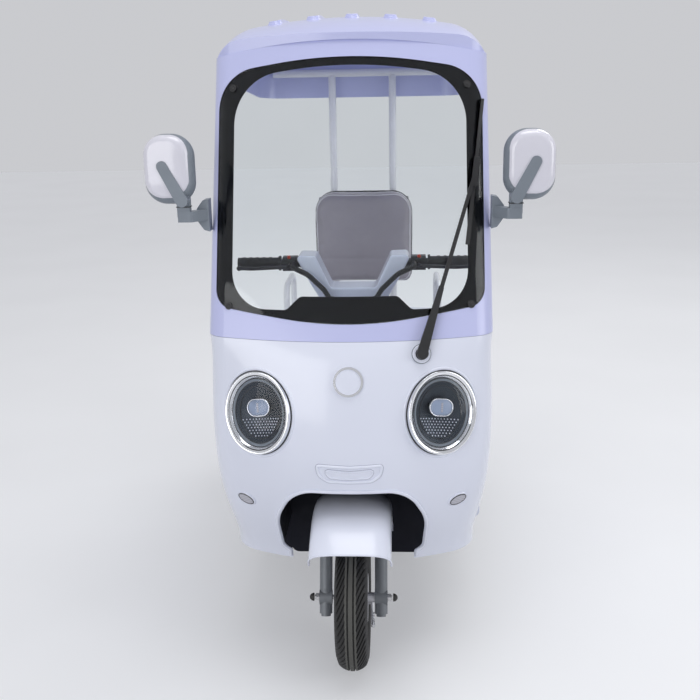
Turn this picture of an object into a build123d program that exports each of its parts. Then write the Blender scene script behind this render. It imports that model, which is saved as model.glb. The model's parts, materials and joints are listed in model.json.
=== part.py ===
from build123d import *
import os
from collections import namedtuple
from math import cos, hypot, radians, sin, sqrt

os.makedirs("parts", exist_ok=True)

# A small electric three-wheeler with a canopy, in millimetres.
# X runs across (positive is the viewer's right), Y runs to the rear from the front axle, Z is up from the floor.

# Wheels
TYRE_RADIUS = 183.5
TYRE_WIDTH = 82
BEAD_RADIUS = 103
RIM_WIDTH = 62
RIM_WALL = 4
RIM_WELL_DEPTH = 13
HUB_RADIUS = 21
AXLE_RADIUS = 6
RUNNING_FIT = 0.05
DRUM_RADIUS = 62
DRUM_DEPTH = 26
WHEELBASE = 1200
REAR_TRACK = 590

# Steering head and fork
RAKE = 22
HEAD_FOOT_Y = -60
STEM_RADIUS = 15
HEAD_TUBE_RADIUS = 25
HEAD_TUBE_LENGTH = 225
CROWN_LEVEL = 480
CROWN_HEIGHT = 24
LEG_X = 72
LEG_RADIUS = 13.5
SLIDER_RADIUS = 16.5
SLIDER_LENGTH = 190
SLIDER_BELOW_AXLE = 48

# Front fender
FENDER_RADIUS = 275
FENDER_SKIRT_RADIUS = 212
FENDER_HALF_WIDTH = 101
FENDER_WALL = 3
FENDER_LIP_ANGLE = 51
FENDER_TAIL_ANGLE = 152

# Body shells
BODY_HALF_WIDTH = 355
SHELL_WALL = 4
SEAT_GAP = 0.3
PANEL_GAP = 0.9
SEAM_Z = 880
COWL_FOOT_Z = 280
COWL_REAR_Y = 300
PILLAR_REAR_Y = 236
SCREEN_FOOT_Y = -20
SCREEN_SLOPE = 0.395
SCREEN_NOSE_RADIUS = 950
SCREEN_CORNER_RADIUS = 65
ARCH_TOP = 512
ARCH_HALF_WIDTH = 186
ARCH_FOOT_HALF_WIDTH = 158

# Windscreen
GLASS_HALF_WIDTH = 331
GLASS_WALL = 4.5
GLASS_TOP = 1553
GLASS_FOOT = 910
CLEAR_HALF_WIDTH = 290
CLEAR_TOP = 1530
CLEAR_FOOT = 948
CLEAR_STEP = 980
BORDER_WALL = 4
BORDER_OVERLAP = 6

# Roof
ROOF_TOP = 1650
ROOF_WALL = 5
ROOF_CROWN_RADIUS = 1600
ROOF_REAR_Y = 1165
ROOF_SEAM_Z = 1580
ROOF_SEAM_RADIUS = 1630
ROOF_SKIRT_FRONT_Z = 1486
SKIRT_START_Y = 405
ROOF_SKIRT_REAR_Z = 1425
RIB_HALF_WIDTH = 14
RIB_HEIGHT = 9
RIB_SPACING = 102
RIB_COUNT = 5
RIB_FRONT_Y = 420
RIB_REAR_Y = 1060
RIB_TAPER = 26

# Cab
FLOOR_TOP = 304
FLOOR_WALL = 4
LEG_SHIELD_Y = 350
DASH_TOP = 884
DASH_REAR_Y = 225
COLUMN_COVER_RADIUS = 55
COLUMN_COVER_TOP = 950

# Rear body and seats
TUB_FRONT_Y = 620
TUB_REAR_Y = 1520
TUB_FOOT_Z = 270
DECK_Z = 612
REAR_ARCH_RADIUS = 222
LINER_INNER_X = 228
SEAT_PAN_THICKNESS = 10
SADDLE_HALF_WIDTH = 150
SADDLE_FRONT_Y = 622
SADDLE_REAR_Y = 842
CUSHION_HEIGHT = 75
BENCH_HALF_WIDTH = 210
BENCH_FRONT_Y = 856
BENCH_REAR_Y = 1042
STORE_HALF_WIDTH = 125
STORE_FRONT_Y = 650
STORE_REAR_Y = 820
STORE_DEPTH = 150
HINGE_PIN_RADIUS = 4
HINGE_KNUCKLE_RADIUS = 8
BACKREST_HALF_WIDTH = 176
BACKREST_FOOT = 790
BACKREST_TOP = 1120
BACKREST_DEPTH = 55
POST_X = 102
POST_Y = 1132
POST_RADIUS = 12.5
CROSSBAR_Z = 1505

# Frame
RAIL_X = 160
RAIL_WIDTH = 30
RAIL_HEIGHT = 40
FLOOR_RAIL_Z = 274
REAR_RAIL_Z = 400
SPINE_RADIUS = 17
AXLE_TUBE_RADIUS = 24
MOTOR_RADIUS = 76

# Handlebar
BAR_RADIUS = 11.1
BAR_HALF_WIDTH = 312
BAR_Y = 350
BAR_Z = 1003
BAR_CLAMP_LEVEL = 990
GRIP_RADIUS = 16
GRIP_LENGTH = 118
SWITCH_X = 174

# Mirrors
MIRROR_X = 434
MIRROR_Y = 100
MIRROR_Z = 1282
MIRROR_HALF_WIDTH = 62
MIRROR_HALF_HEIGHT = 84
MIRROR_DEPTH = 34
MIRROR_ARM_Z = 1167
MIRROR_STEM_X = 403

# Lamps
LAMP_X = 225
LAMP_Z = 706
LAMP_HALF_WIDTH = 88
LAMP_HALF_HEIGHT = 101
LAMP_TURN = 22
LAMP_TILT = 13
LAMP_ROLL = 9
BADGE_Z = 792
BADGE_RADIUS = 36
RACK_HOLE_RADIUS = 4.25
RACK_SPACING_X = 260
RACK_SPACING_Y = 160
RACK_Y = 1330
RACK_PAD_HEIGHT = 4
BUMPER_REAR_Y = 1550
BUMPER_RADIUS = 12.5
BUMPER_HALF_WIDTH = 280
BUMPER_Z = 340

FRONT_END = -TYRE_RADIUS
REAR_END = BUMPER_REAR_Y + BUMPER_RADIUS
CENTRE = Pos(0, -(FRONT_END + REAR_END) / 2, 0)

AXLE_CENTRE = Vector(0, 0, TYRE_RADIUS)
REAR_AXLE = Vector(0, WHEELBASE, TYRE_RADIUS)

# The steering head's own frame: its origin is where the steering axis meets the floor, its Z runs up the axis.
HEAD = Plane(
    origin=(0, HEAD_FOOT_Y, 0),
    x_dir=(1, 0, 0),
    z_dir=(0, sin(radians(RAKE)), cos(radians(RAKE))),
)
AXLE_LEVEL = -HEAD_FOOT_Y * sin(radians(RAKE)) + TYRE_RADIUS * cos(radians(RAKE))
AXLE_LEAD = -HEAD_FOOT_Y * cos(radians(RAKE)) - TYRE_RADIUS * sin(radians(RAKE))
HEAD_TUBE_FOOT = CROWN_LEVEL + CROWN_HEIGHT + 12
HEAD_TUBE_TOP = HEAD_TUBE_FOOT + HEAD_TUBE_LENGTH

PARTS = {}


def keep(name, shape):
    """Record one finished piece under its node name, moved so that the origin is under the middle of the vehicle."""
    solids = [CENTRE * solid for solid in shape.solids()]
    PARTS[name] = Compound(children=solids) if len(solids) > 1 else solids[0]


def outline(corners):
    """Closed face from (across, up, corner radius) rows."""
    points = [(x, y) for x, y, _ in corners]
    radii = [radius for _, _, radius in corners]
    return make_face(FilletPolyline(*points, radius=radii, close=True))


def mirrored(half):
    """Full outline rows from the right-hand half, which starts and ends beside the centre line."""
    return half + [(-x, y, radius) for x, y, radius in reversed(half)]


def front_prism(face, y_from, y_to):
    """A front-view outline (X across, Z up) made into a prism between two depths."""
    return Pos(0, y_to, 0) * extrude(Plane.XZ * face, amount=y_to - y_from)


def side_prism(face, half_width, centre=0):
    """A side-view outline (Y along, Z up) made into a prism of the given half width about a place across."""
    return Pos(centre, 0, 0) * extrude(Plane.YZ * face, amount=half_width, both=True)


def plan_prism(face, z_from, z_to):
    """A plan outline (X across, Y along) made into a prism between two heights."""
    return Pos(0, 0, z_from) * extrude(face, amount=z_to - z_from)


def block(x, y, z):
    """Box from three (low, high) pairs."""
    size = [high - low for low, high in (x, y, z)]
    middle = [(high + low) / 2 for low, high in (x, y, z)]
    return Pos(*middle) * Box(*size)


def both_sides(shape):
    """The piece and its mirror image on the other side."""
    return [shape, mirror(shape, about=Plane.YZ)]


def tube_along(points, radii, radius):
    """Round bar along straight runs joined by tangent arcs."""
    path = FilletPolyline(*points, radius=radii) if radii else Line(*points)
    start = Plane(origin=path @ 0, z_dir=path % 0)
    return sweep(start * Circle(radius), path=path)


def dee(half_width, nose, nose_radius, corner_radius, back):
    """Closed outline: bowed nose at low Y, a round corner on each side, straight sides and a straight back."""
    centre_y = nose + nose_radius
    corner_x = half_width - corner_radius
    reach = nose_radius - corner_radius
    corner_y = centre_y - sqrt(reach**2 - corner_x**2)
    out_x = corner_x / reach
    out_y = (corner_y - centre_y) / reach
    join = (out_x * nose_radius, centre_y + out_y * nose_radius)
    length = hypot(out_x + 1, out_y)
    mid = (corner_x + corner_radius * (out_x + 1) / length, corner_y + corner_radius * out_y / length)
    edges = [
        ThreePointArc((-join[0], join[1]), (0, nose), join),
        ThreePointArc(join, mid, (half_width, corner_y)),
        Line((half_width, corner_y), (half_width, back)),
        Line((half_width, back), (-half_width, back)),
        Line((-half_width, back), (-half_width, corner_y)),
        ThreePointArc((-half_width, corner_y), (-mid[0], mid[1]), (-join[0], join[1])),
    ]
    return make_face(edges)


Section = namedtuple("Section", "level half_width nose nose_radius corner_radius")


def lofted(sections, place, back, inset=0, ruled=False):
    """Body through D sections; the inset draws every section in, which gives a wall its inner side."""
    faces = []
    for row in sections:
        face = dee(
            row.half_width - inset,
            row.nose + inset,
            row.nose_radius - inset,
            row.corner_radius - inset,
            back,
        )
        faces.append(place(row.level) * face)
    return loft(faces, ruled=ruled)


def facing_front(level):
    """Plan plane whose sections have their nose towards the front."""
    return Plane((0, 0, level))


def facing_rear(level):
    """Plan plane whose sections have their nose towards the rear."""
    return Plane((0, 0, level), x_dir=(-1, 0, 0), z_dir=(0, 0, 1))


def facing_up(level):
    """Upright cross plane whose sections have their nose at the top."""
    return Plane((0, level, 0), x_dir=(1, 0, 0), z_dir=(0, 1, 0))


# Front cowl: plan sections by height, wide and bowed at lamp height, drawn in and tucked back at the foot
COWL = [
    Section(COWL_FOOT_Z, BODY_HALF_WIDTH - 35, 14, 600, 110),
    Section(COWL_FOOT_Z + 55, BODY_HALF_WIDTH - 34, -8, 600, 110),
    Section(COWL_FOOT_Z + 115, BODY_HALF_WIDTH - 24, -38, 600, 105),
    Section(COWL_FOOT_Z + 200, BODY_HALF_WIDTH - 11, -72, 600, 100),
    Section(COWL_FOOT_Z + 310, BODY_HALF_WIDTH - 2, -87, 600, 100),
    Section(COWL_FOOT_Z + 430, BODY_HALF_WIDTH, -74, 620, 95),
    Section(SEAM_Z, BODY_HALF_WIDTH - 1, SCREEN_FOOT_Y, SCREEN_NOSE_RADIUS, SCREEN_CORNER_RADIUS),
]

# Windscreen surround: one straight rake from the seam to above the roof seam
SURROUND_TOP = ROOF_SEAM_Z + 40
SCREEN_NARROWING = 0.0095


def rake_section(level):
    """Section of the raked front at a height above or below the seam."""
    rise = level - SEAM_Z
    return Section(
        level,
        BODY_HALF_WIDTH - 1 - rise * SCREEN_NARROWING,
        SCREEN_FOOT_Y + rise * SCREEN_SLOPE,
        SCREEN_NOSE_RADIUS,
        SCREEN_CORNER_RADIUS,
    )


SURROUND = [rake_section(SEAM_Z), rake_section(SURROUND_TOP)]

# Roof: upright cross sections by distance from the front; the nose is the crown, so heights are negative
ROOF_FRONT_Y = SCREEN_FOOT_Y + (ROOF_SEAM_Z - SEAM_Z) * SCREEN_SLOPE - 6
ROOF_HALF_WIDTH = BODY_HALF_WIDTH - 4
ROOF = [
    Section(ROOF_FRONT_Y - 20, ROOF_HALF_WIDTH, -(ROOF_TOP - 62), ROOF_CROWN_RADIUS, 90),
    Section(ROOF_FRONT_Y + 90, ROOF_HALF_WIDTH, -(ROOF_TOP - 26), ROOF_CROWN_RADIUS, 100),
    Section(ROOF_FRONT_Y + 330, ROOF_HALF_WIDTH, -ROOF_TOP, ROOF_CROWN_RADIUS, 110),
    Section(ROOF_REAR_Y - 220, ROOF_HALF_WIDTH, -(ROOF_TOP - 3), ROOF_CROWN_RADIUS, 110),
    Section(ROOF_REAR_Y + 20, ROOF_HALF_WIDTH, -(ROOF_TOP - 40), ROOF_CROWN_RADIUS, 90),
]

# Rear body: plan sections by height with the nose at the rear, so distances are negative
TUB = [
    Section(TUB_FOOT_Z, BODY_HALF_WIDTH - 15, -(TUB_REAR_Y - 30), 900, 85),
    Section(TUB_FOOT_Z + 130, BODY_HALF_WIDTH - 3, -(TUB_REAR_Y - 5), 900, 95),
    Section(TUB_FOOT_Z + 250, BODY_HALF_WIDTH, -TUB_REAR_Y, 900, 95),
    Section(DECK_Z - 24, BODY_HALF_WIDTH - 8, -(TUB_REAR_Y - 12), 900, 92),
    Section(DECK_Z, BODY_HALF_WIDTH - 26, -(TUB_REAR_Y - 34), 900, 80),
]

INNER_BACK = COWL_REAR_Y + 60
SCREEN_BACK = PILLAR_REAR_Y + 250


def cab_space(inset):
    """Space inside the front cowl and windscreen surround, drawn in from the outer skin."""
    lower = lofted(COWL, facing_front, INNER_BACK, inset)
    upper = lofted(SURROUND, facing_front, SCREEN_BACK, inset, ruled=True)
    return lower + upper


def seam_solid(drop):
    """Everything below the roof seam: arched over the front, then falling along the sides to the rear skirt."""
    arch_top = ROOF_SEAM_Z - drop
    centre_z = arch_top - ROOF_SEAM_RADIUS
    disc = Pos(0, centre_z) * Circle(ROOF_SEAM_RADIUS)
    front = front_prism(disc, -200, 470) & block((-400, 400), (-200, 470), (SEAM_Z - 40, ROOF_TOP))
    side_z = centre_z + sqrt(ROOF_SEAM_RADIUS**2 - ROOF_HALF_WIDTH**2)
    skirt = outline(
        [
            (380, SEAM_Z - 40, 0),
            (380, side_z, 0),
            (SKIRT_START_Y, side_z, 30),
            (SKIRT_START_Y + 50, ROOF_SKIRT_FRONT_Z - drop, 40),
            (ROOF_REAR_Y + 60, ROOF_SKIRT_REAR_Z - 6 - drop, 0),
            (ROOF_REAR_Y + 60, SEAM_Z - 40, 0),
        ]
    )
    return front + side_prism(skirt, 400)


# Front cowl, lower half

ARCH = outline(
    mirrored(
        [
            (ARCH_HALF_WIDTH - 46, ARCH_TOP, 85),
            (ARCH_HALF_WIDTH, ARCH_TOP - 92, 110),
            (ARCH_HALF_WIDTH - 8, COWL_FOOT_Z + 42, 22),
            (ARCH_FOOT_HALF_WIDTH, COWL_FOOT_Z + 26, 8),
            (ARCH_FOOT_HALF_WIDTH, COWL_FOOT_Z - 18, 0),
        ]
    )
)


def lamp_place(lift=0):
    """Frame on the right headlamp's middle: Z points out of the lamp and Y up it."""
    turn = radians(LAMP_TURN)
    tilt = radians(LAMP_TILT)
    out = Vector(sin(turn) * cos(tilt), -cos(turn) * cos(tilt), sin(tilt))
    across = Vector(cos(turn), sin(turn), 0).rotate(Axis((0, 0, 0), out), LAMP_ROLL * -1)
    middle = Vector(LAMP_X, -34, LAMP_Z) + out * lift
    return Plane(origin=middle, x_dir=across, z_dir=out)


def lamp_prism(inset, depth_from, depth_to):
    """Oval prism in the lamp's frame."""
    face = Ellipse(LAMP_HALF_WIDTH - inset, LAMP_HALF_HEIGHT - inset)
    return lamp_place(depth_from) * extrude(face, amount=depth_to - depth_from)


def cowl_rear_cut():
    """What lies behind the cowl's rear edge, seen from the side."""
    edge = outline(
        [
            (COWL_REAR_Y + 200, COWL_FOOT_Z - 60, 0),
            (COWL_REAR_Y, COWL_FOOT_Z - 60, 0),
            (COWL_REAR_Y - 2, COWL_FOOT_Z + 190, 260),
            (PILLAR_REAR_Y, COWL_FOOT_Z + 400, 260),
            (PILLAR_REAR_Y, SEAM_Z + 30, 300),
            (PILLAR_REAR_Y + 152, ROOF_SKIRT_FRONT_Z - 12, 50),
            (PILLAR_REAR_Y + 400, ROOF_SKIRT_FRONT_Z - 12, 0),
            (PILLAR_REAR_Y + 400, COWL_FOOT_Z - 60, 0),
        ]
    )
    return side_prism(edge, 400)


def cowl_lower():
    shell = lofted(COWL, facing_front, COWL_REAR_Y + 30) - lofted(COWL, facing_front, INNER_BACK, SHELL_WALL)
    shell = shell & block((-400, 400), (-200, INNER_BACK), (COWL_FOOT_Z, SEAM_Z - PANEL_GAP))
    shell = shell - front_prism(ARCH, -200, 150)
    shell = shell - cowl_rear_cut()
    for side in both_sides(lamp_prism(-1 - SEAT_GAP, -70, 60)):
        shell = shell - side
    return shell


def smile():
    """Raised smile moulding on the nose, above the wheel arch: a rim round a shallow mouth."""
    lips = outline(mirrored([(86, 590, 6), (90, 582, 6), (72, 556, 16), (40, 541, 24)]))
    mouth = outline(mirrored([(72, 575, 6), (54, 557, 14)]))
    return cowl_layer(4, SEAT_GAP) & (front_prism(lips, -200, 0) - front_prism(mouth, -200, 0))


def cowl_layer(outer_lift, inner_lift):
    """Layer that lies over the front cowl's skin between two heights."""
    outer = lofted(COWL, facing_front, COWL_REAR_Y, -outer_lift)
    return outer - lofted(COWL, facing_front, INNER_BACK, -inner_lift)


def nose_ring():
    """Bare raised disc with a rim, where the nose badge sits."""
    middle = Plane(origin=(0, -60, BADGE_Z), x_dir=(1, 0, 0), z_dir=(0, -0.96, 0.28))
    disc = cowl_layer(3, SEAT_GAP) & middle * Cylinder(BADGE_RADIUS - 5, 80)
    rim_ring = cowl_layer(5, SEAT_GAP) & middle * (Cylinder(BADGE_RADIUS, 80) - Cylinder(BADGE_RADIUS - 5.2, 80))
    return disc + rim_ring


GLASS_REAR_Y = PILLAR_REAR_Y + 200
GLASS_SIDE_TOP = GLASS_TOP - 52
GLASS_SIDE_FOOT = GLASS_FOOT + 42


def glass_outline(grow):
    """Front-view outline of the glass, let out by a margin."""
    half = GLASS_HALF_WIDTH + grow
    return outline(
        [
            (0, GLASS_FOOT - grow, 1200),
            (half, GLASS_SIDE_FOOT - grow, 42),
            (half, GLASS_SIDE_TOP + grow, 108),
            (0, GLASS_TOP + grow, 1200),
            (-half, GLASS_SIDE_TOP + grow, 108),
            (-half, GLASS_SIDE_FOOT - grow, 42),
        ]
    )


def clear_outline():
    """Front-view outline of the clear part of the glass, with its raised step at the foot."""
    half = CLEAR_HALF_WIDTH
    right = [
        (118, CLEAR_STEP, 20),
        (152, CLEAR_FOOT, 20),
        (half, CLEAR_FOOT, 84),
        (half, CLEAR_TOP - 42, 128),
    ]
    return outline(right + [(0, CLEAR_TOP, 1100)] + [(-x, y, radius) for x, y, radius in reversed(right)])


def screen_layer(outer_inset, inner_inset):
    """Layer of the windscreen surround between two depths below its outer skin."""
    outer = lofted(SURROUND, facing_front, SCREEN_BACK, outer_inset, ruled=True)
    inner = lofted(SURROUND, facing_front, SCREEN_BACK + 40, inner_inset, ruled=True)
    return outer - inner


def cowl_upper():
    shell = screen_layer(0, SHELL_WALL)
    shell = shell & seam_solid(SEAT_GAP)
    shell = shell & block((-400, 400), (-200, 500), (SEAM_Z, ROOF_TOP))
    shell = shell - front_prism(glass_outline(1), -200, GLASS_REAR_Y)
    return shell - cowl_rear_cut()


def windscreen():
    layer = screen_layer(0, GLASS_WALL)
    return layer & front_prism(glass_outline(0), -200, GLASS_REAR_Y)


BORDER_DEPTH = GLASS_WALL + SEAT_GAP


def windscreen_border():
    """Dark frame right behind the glass: it laps behind the surround and carries the glass."""
    layer = screen_layer(BORDER_DEPTH, BORDER_DEPTH + BORDER_WALL)
    ring = layer & front_prism(glass_outline(BORDER_OVERLAP), -200, GLASS_REAR_Y)
    return ring - front_prism(clear_outline(), -200, SCREEN_BACK)


# Wheel well: dark liner behind the arch, open to the front and below

WELL_HALF_WIDTH = 194
WELL_TOP = 524
WELL_REAR_Y = 292
WELL_FOOT_Z = 162


def well_side(inset):
    return outline(
        [
            (-60, WELL_FOOT_Z, 0),
            (-60, WELL_TOP - inset, 0),
            (190, WELL_TOP - inset, 60 - inset),
            (WELL_REAR_Y - inset, WELL_TOP - 110, 90 - inset),
            (WELL_REAR_Y - inset, WELL_FOOT_Z, 0),
        ]
    )


def wheel_well_liner():
    """Roof and sides of the wheel well, with a rear wall that hangs below the cowl as a splash guard."""
    outer = side_prism(well_side(0), WELL_HALF_WIDTH)
    inner = side_prism(well_side(3), WELL_HALF_WIDTH - 3)
    space = lofted(COWL, facing_front, INNER_BACK, SHELL_WALL + SEAT_GAP)
    liner = (outer - inner) & space
    half = WELL_HALF_WIDTH
    guard = outline([(-half, WELL_FOOT_Z, 24), (half, WELL_FOOT_Z, 24), (half, 400, 0), (-half, 400, 0)])
    liner += front_prism(guard, WELL_REAR_Y - 3, WELL_REAR_Y)
    bore = HEAD * Pos(0, 0, HEAD_TUBE_FOOT) * Cylinder(HEAD_TUBE_RADIUS + 1, 120)
    return liner - bore


# Cab interior

def shield_region(inset):
    """Side view of the space in front of the leg shield and under the dash."""
    return outline(
        [
            (-220, COWL_FOOT_Z - 60, 0),
            (LEG_SHIELD_Y - inset, COWL_FOOT_Z - 60, 0),
            (LEG_SHIELD_Y - inset, 540, 120),
            (DASH_REAR_Y + 32 - inset, 780, 90),
            (DASH_REAR_Y - inset, DASH_TOP - inset, 26),
            (-220, DASH_TOP - inset, 0),
        ]
    )


def inner_cowl():
    wall = side_prism(shield_region(0), 400) - side_prism(shield_region(SHELL_WALL), 400)
    cover_span = COLUMN_COVER_TOP - HEAD_TUBE_FOOT
    cover = Pos(0, 0, HEAD_TUBE_FOOT + cover_span / 2) * Cone(COLUMN_COVER_RADIUS + 8, COLUMN_COVER_RADIUS, cover_span)
    cover = HEAD * cover - side_prism(shield_region(SHELL_WALL / 2), 400)
    hollow_span = cover_span - SHELL_WALL
    hollow = Cone(COLUMN_COVER_RADIUS + 8 - SHELL_WALL, COLUMN_COVER_RADIUS - SHELL_WALL, hollow_span)
    stem_hole = Pos(0, 0, COLUMN_COVER_TOP) * Cylinder(STEM_RADIUS + 8, 60)
    bore = HEAD * (Pos(0, 0, HEAD_TUBE_FOOT + hollow_span / 2) * hollow + stem_hole)
    shell = (wall + cover) - bore
    space = cab_space(BORDER_DEPTH + BORDER_WALL + SEAT_GAP)
    cowl_side = block((-400, 400), (-200, INNER_BACK + 60), (FLOOR_TOP, COLUMN_COVER_TOP + 100))
    return shell & space & cowl_side


def floor_pan():
    front = LEG_SHIELD_Y - SHELL_WALL - 8
    plan = RectangleRounded(2 * (BODY_HALF_WIDTH - 26), TUB_FRONT_Y - front - SEAT_GAP, 6)
    middle_y = (TUB_FRONT_Y + front - SEAT_GAP) / 2
    sheet = Pos(0, middle_y, 0) * plan_prism(plan, FLOOR_TOP - FLOOR_WALL - SEAT_GAP, FLOOR_TOP - SEAT_GAP)
    return sheet


def floor_mat():
    front = LEG_SHIELD_Y + 8
    plan = RectangleRounded(2 * (BODY_HALF_WIDTH - 46), TUB_FRONT_Y - front - 12, 25)
    middle_y = (TUB_FRONT_Y + front - 4) / 2
    mat = Pos(0, middle_y, 0) * plan_prism(plan, FLOOR_TOP, FLOOR_TOP + 4)
    return mat


def side_sills():
    """Rocker panels between the cowl and the rear body, under the edge of the floor."""
    profile = outline(
        [
            (BODY_HALF_WIDTH - 26 + SEAT_GAP, FLOOR_TOP + 8, 3),
            (BODY_HALF_WIDTH - 6, FLOOR_TOP + 8, 10),
            (BODY_HALF_WIDTH - 6, TUB_FOOT_Z, 18),
            (BODY_HALF_WIDTH - 36, TUB_FOOT_Z, 6),
            (BODY_HALF_WIDTH - 36, FLOOR_TOP - FLOOR_WALL - 2 * SEAT_GAP, 0),
            (BODY_HALF_WIDTH - 26 + SEAT_GAP, FLOOR_TOP - FLOOR_WALL - 2 * SEAT_GAP, 0),
        ]
    )
    sill = front_prism(profile, COWL_REAR_Y + SEAT_GAP, TUB_FRONT_Y - SEAT_GAP)
    return Compound(children=[part.solid() for part in both_sides(sill)])


def brake_pedal():
    arm = tube_along([(120, LEG_SHIELD_Y + SEAT_GAP, 372), (120, 384, 372), (120, 398, 346)], [12], 6)
    pad = Pos(120, 402, 340) * Rot(-35, 0, 0) * Box(56, 10, 44)
    return arm + pad


# Steering head, fork and front wheel

def on_head(x, y, level):
    """Place in the steering head's frame."""
    return HEAD * Pos(x, y, level)


def fork():
    """Stem, crown, upper legs and the fender's boss."""
    stem_top = BAR_CLAMP_LEVEL - BAR_RADIUS - 10
    stem = on_head(0, 0, (CROWN_LEVEL + stem_top) / 2) * Cylinder(STEM_RADIUS, stem_top - CROWN_LEVEL)
    crown_face = make_hull((Circle(30).edges() + (Pos(LEG_X, AXLE_LEAD) * Circle(23)).edges()
                            + (Pos(-LEG_X, AXLE_LEAD) * Circle(23)).edges()))
    crown = on_head(0, 0, CROWN_LEVEL) * extrude(crown_face, amount=CROWN_HEIGHT)
    shape = stem + crown
    slider_top = AXLE_LEVEL - SLIDER_BELOW_AXLE + SLIDER_LENGTH
    leg_foot = slider_top - 4
    for x in (-LEG_X, LEG_X):
        leg_length = CROWN_LEVEL + CROWN_HEIGHT / 2 - leg_foot
        shape += on_head(x, AXLE_LEAD, leg_foot + leg_length / 2) * Cylinder(LEG_RADIUS, leg_length)
    return shape


def fork_sliders():
    """Lower legs: each has an axle eye, a dust lip and a narrowed foot."""
    slider_foot = AXLE_LEVEL - SLIDER_BELOW_AXLE
    eye = Rot(0, 90, 0) * Cylinder(AXLE_RADIUS + SEAT_GAP, 80)
    sliders = []
    for x in (-LEG_X, LEG_X):
        body = on_head(x, AXLE_LEAD, slider_foot + SLIDER_LENGTH / 2) * Cylinder(SLIDER_RADIUS, SLIDER_LENGTH)
        lip = on_head(x, AXLE_LEAD, slider_foot + SLIDER_LENGTH - 8) * Cylinder(SLIDER_RADIUS + 3, 16)
        boss = Pos(x, 0, TYRE_RADIUS) * Rot(0, 90, 0) * Cylinder(20, 2 * SLIDER_RADIUS)
        foot = on_head(x, AXLE_LEAD, slider_foot) * Cylinder(SLIDER_RADIUS + 5, 14)
        foot -= on_head(x, AXLE_LEAD, slider_foot) * Cylinder(SLIDER_RADIUS - 4, 14)
        well = on_head(x, AXLE_LEAD, slider_foot + SLIDER_LENGTH - 10) * Cylinder(LEG_RADIUS + SEAT_GAP, 40)
        sliders.append((body + lip + boss) - foot - well - Pos(x, 0, TYRE_RADIUS) * eye)
    return Compound(children=[slider.solid() for slider in sliders])


def front_axle():
    """Axle bolt with a round-cornered nut outside each leg."""
    outer = LEG_X + SLIDER_RADIUS + SEAT_GAP
    bolt = Rot(0, 90, 0) * Cylinder(AXLE_RADIUS, 2 * outer + 24)
    nut = Rot(0, 90, 0) * extrude(RegularPolygon(11, 6), amount=9)
    shape = bolt + Pos(outer, 0, 0) * nut + Pos(-outer - 9, 0, 0) * nut
    return Pos(*AXLE_CENTRE) * shape


def sector(radius, inner, start, end):
    """Side-view ring sector about the front axle, angles measured up from straight ahead towards the rear."""
    ring = Circle(radius) - Circle(inner)
    points = [(0, 0)]
    steps = 6
    for index in range(steps + 1):
        angle = radians(start + (end - start) * index / steps)
        points.append((-cos(angle) * radius * 1.4, sin(angle) * radius * 1.4))
    wedge = make_face(Polyline(*points, close=True))
    return Pos(0, TYRE_RADIUS) * (ring & wedge)


def front_fender():
    """Deep channel over the wheel, with skirts inside the arch and a hole for each fork leg."""
    angles = (FENDER_LIP_ANGLE, FENDER_TAIL_ANGLE)
    body = side_prism(sector(FENDER_RADIUS, FENDER_SKIRT_RADIUS, *angles), FENDER_HALF_WIDTH)
    rims = body.edges().filter_by(GeomType.CIRCLE).filter_by(
        lambda edge: abs(edge.radius - FENDER_RADIUS) < 0.01 and abs(edge.center().X) > 1
    )
    body = fillet(rims, 16)
    hollow = side_prism(
        sector(FENDER_RADIUS - FENDER_WALL, FENDER_SKIRT_RADIUS - 20, FENDER_LIP_ANGLE - 20, FENDER_TAIL_ANGLE + 20),
        FENDER_HALF_WIDTH - FENDER_WALL,
    )
    rims = hollow.edges().filter_by(GeomType.CIRCLE).filter_by(
        lambda edge: abs(edge.radius - FENDER_RADIUS + FENDER_WALL) < 0.01
    )
    hollow = fillet(rims, 13)
    shell = body - hollow
    for x in (-LEG_X, LEG_X):
        shell -= on_head(x, AXLE_LEAD, CROWN_LEVEL - 30) * Cylinder(LEG_RADIUS + 0.8, 160)
    return shell


def tyre():
    """Tyre section turned about the X axis: flat-ish crown, round shoulders, bulged sidewalls, narrow beads."""
    half = TYRE_WIDTH / 2
    bead = RIM_WIDTH / 2 - 0.8
    shoulder_r = TYRE_RADIUS - 14
    edges = [
        Line((-bead, BEAD_RADIUS), (bead, BEAD_RADIUS)),
        Line((bead, BEAD_RADIUS), (bead, BEAD_RADIUS + 10)),
        ThreePointArc((bead, BEAD_RADIUS + 10), (half, TYRE_RADIUS - 40), (half - 7, shoulder_r)),
        ThreePointArc((half - 7, shoulder_r), (0, TYRE_RADIUS), (7 - half, shoulder_r)),
        ThreePointArc((7 - half, shoulder_r), (-half, TYRE_RADIUS - 40), (-bead, BEAD_RADIUS + 10)),
        Line((-bead, BEAD_RADIUS + 10), (-bead, BEAD_RADIUS)),
    ]
    return revolve(make_face(edges), axis=Axis.X)


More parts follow.
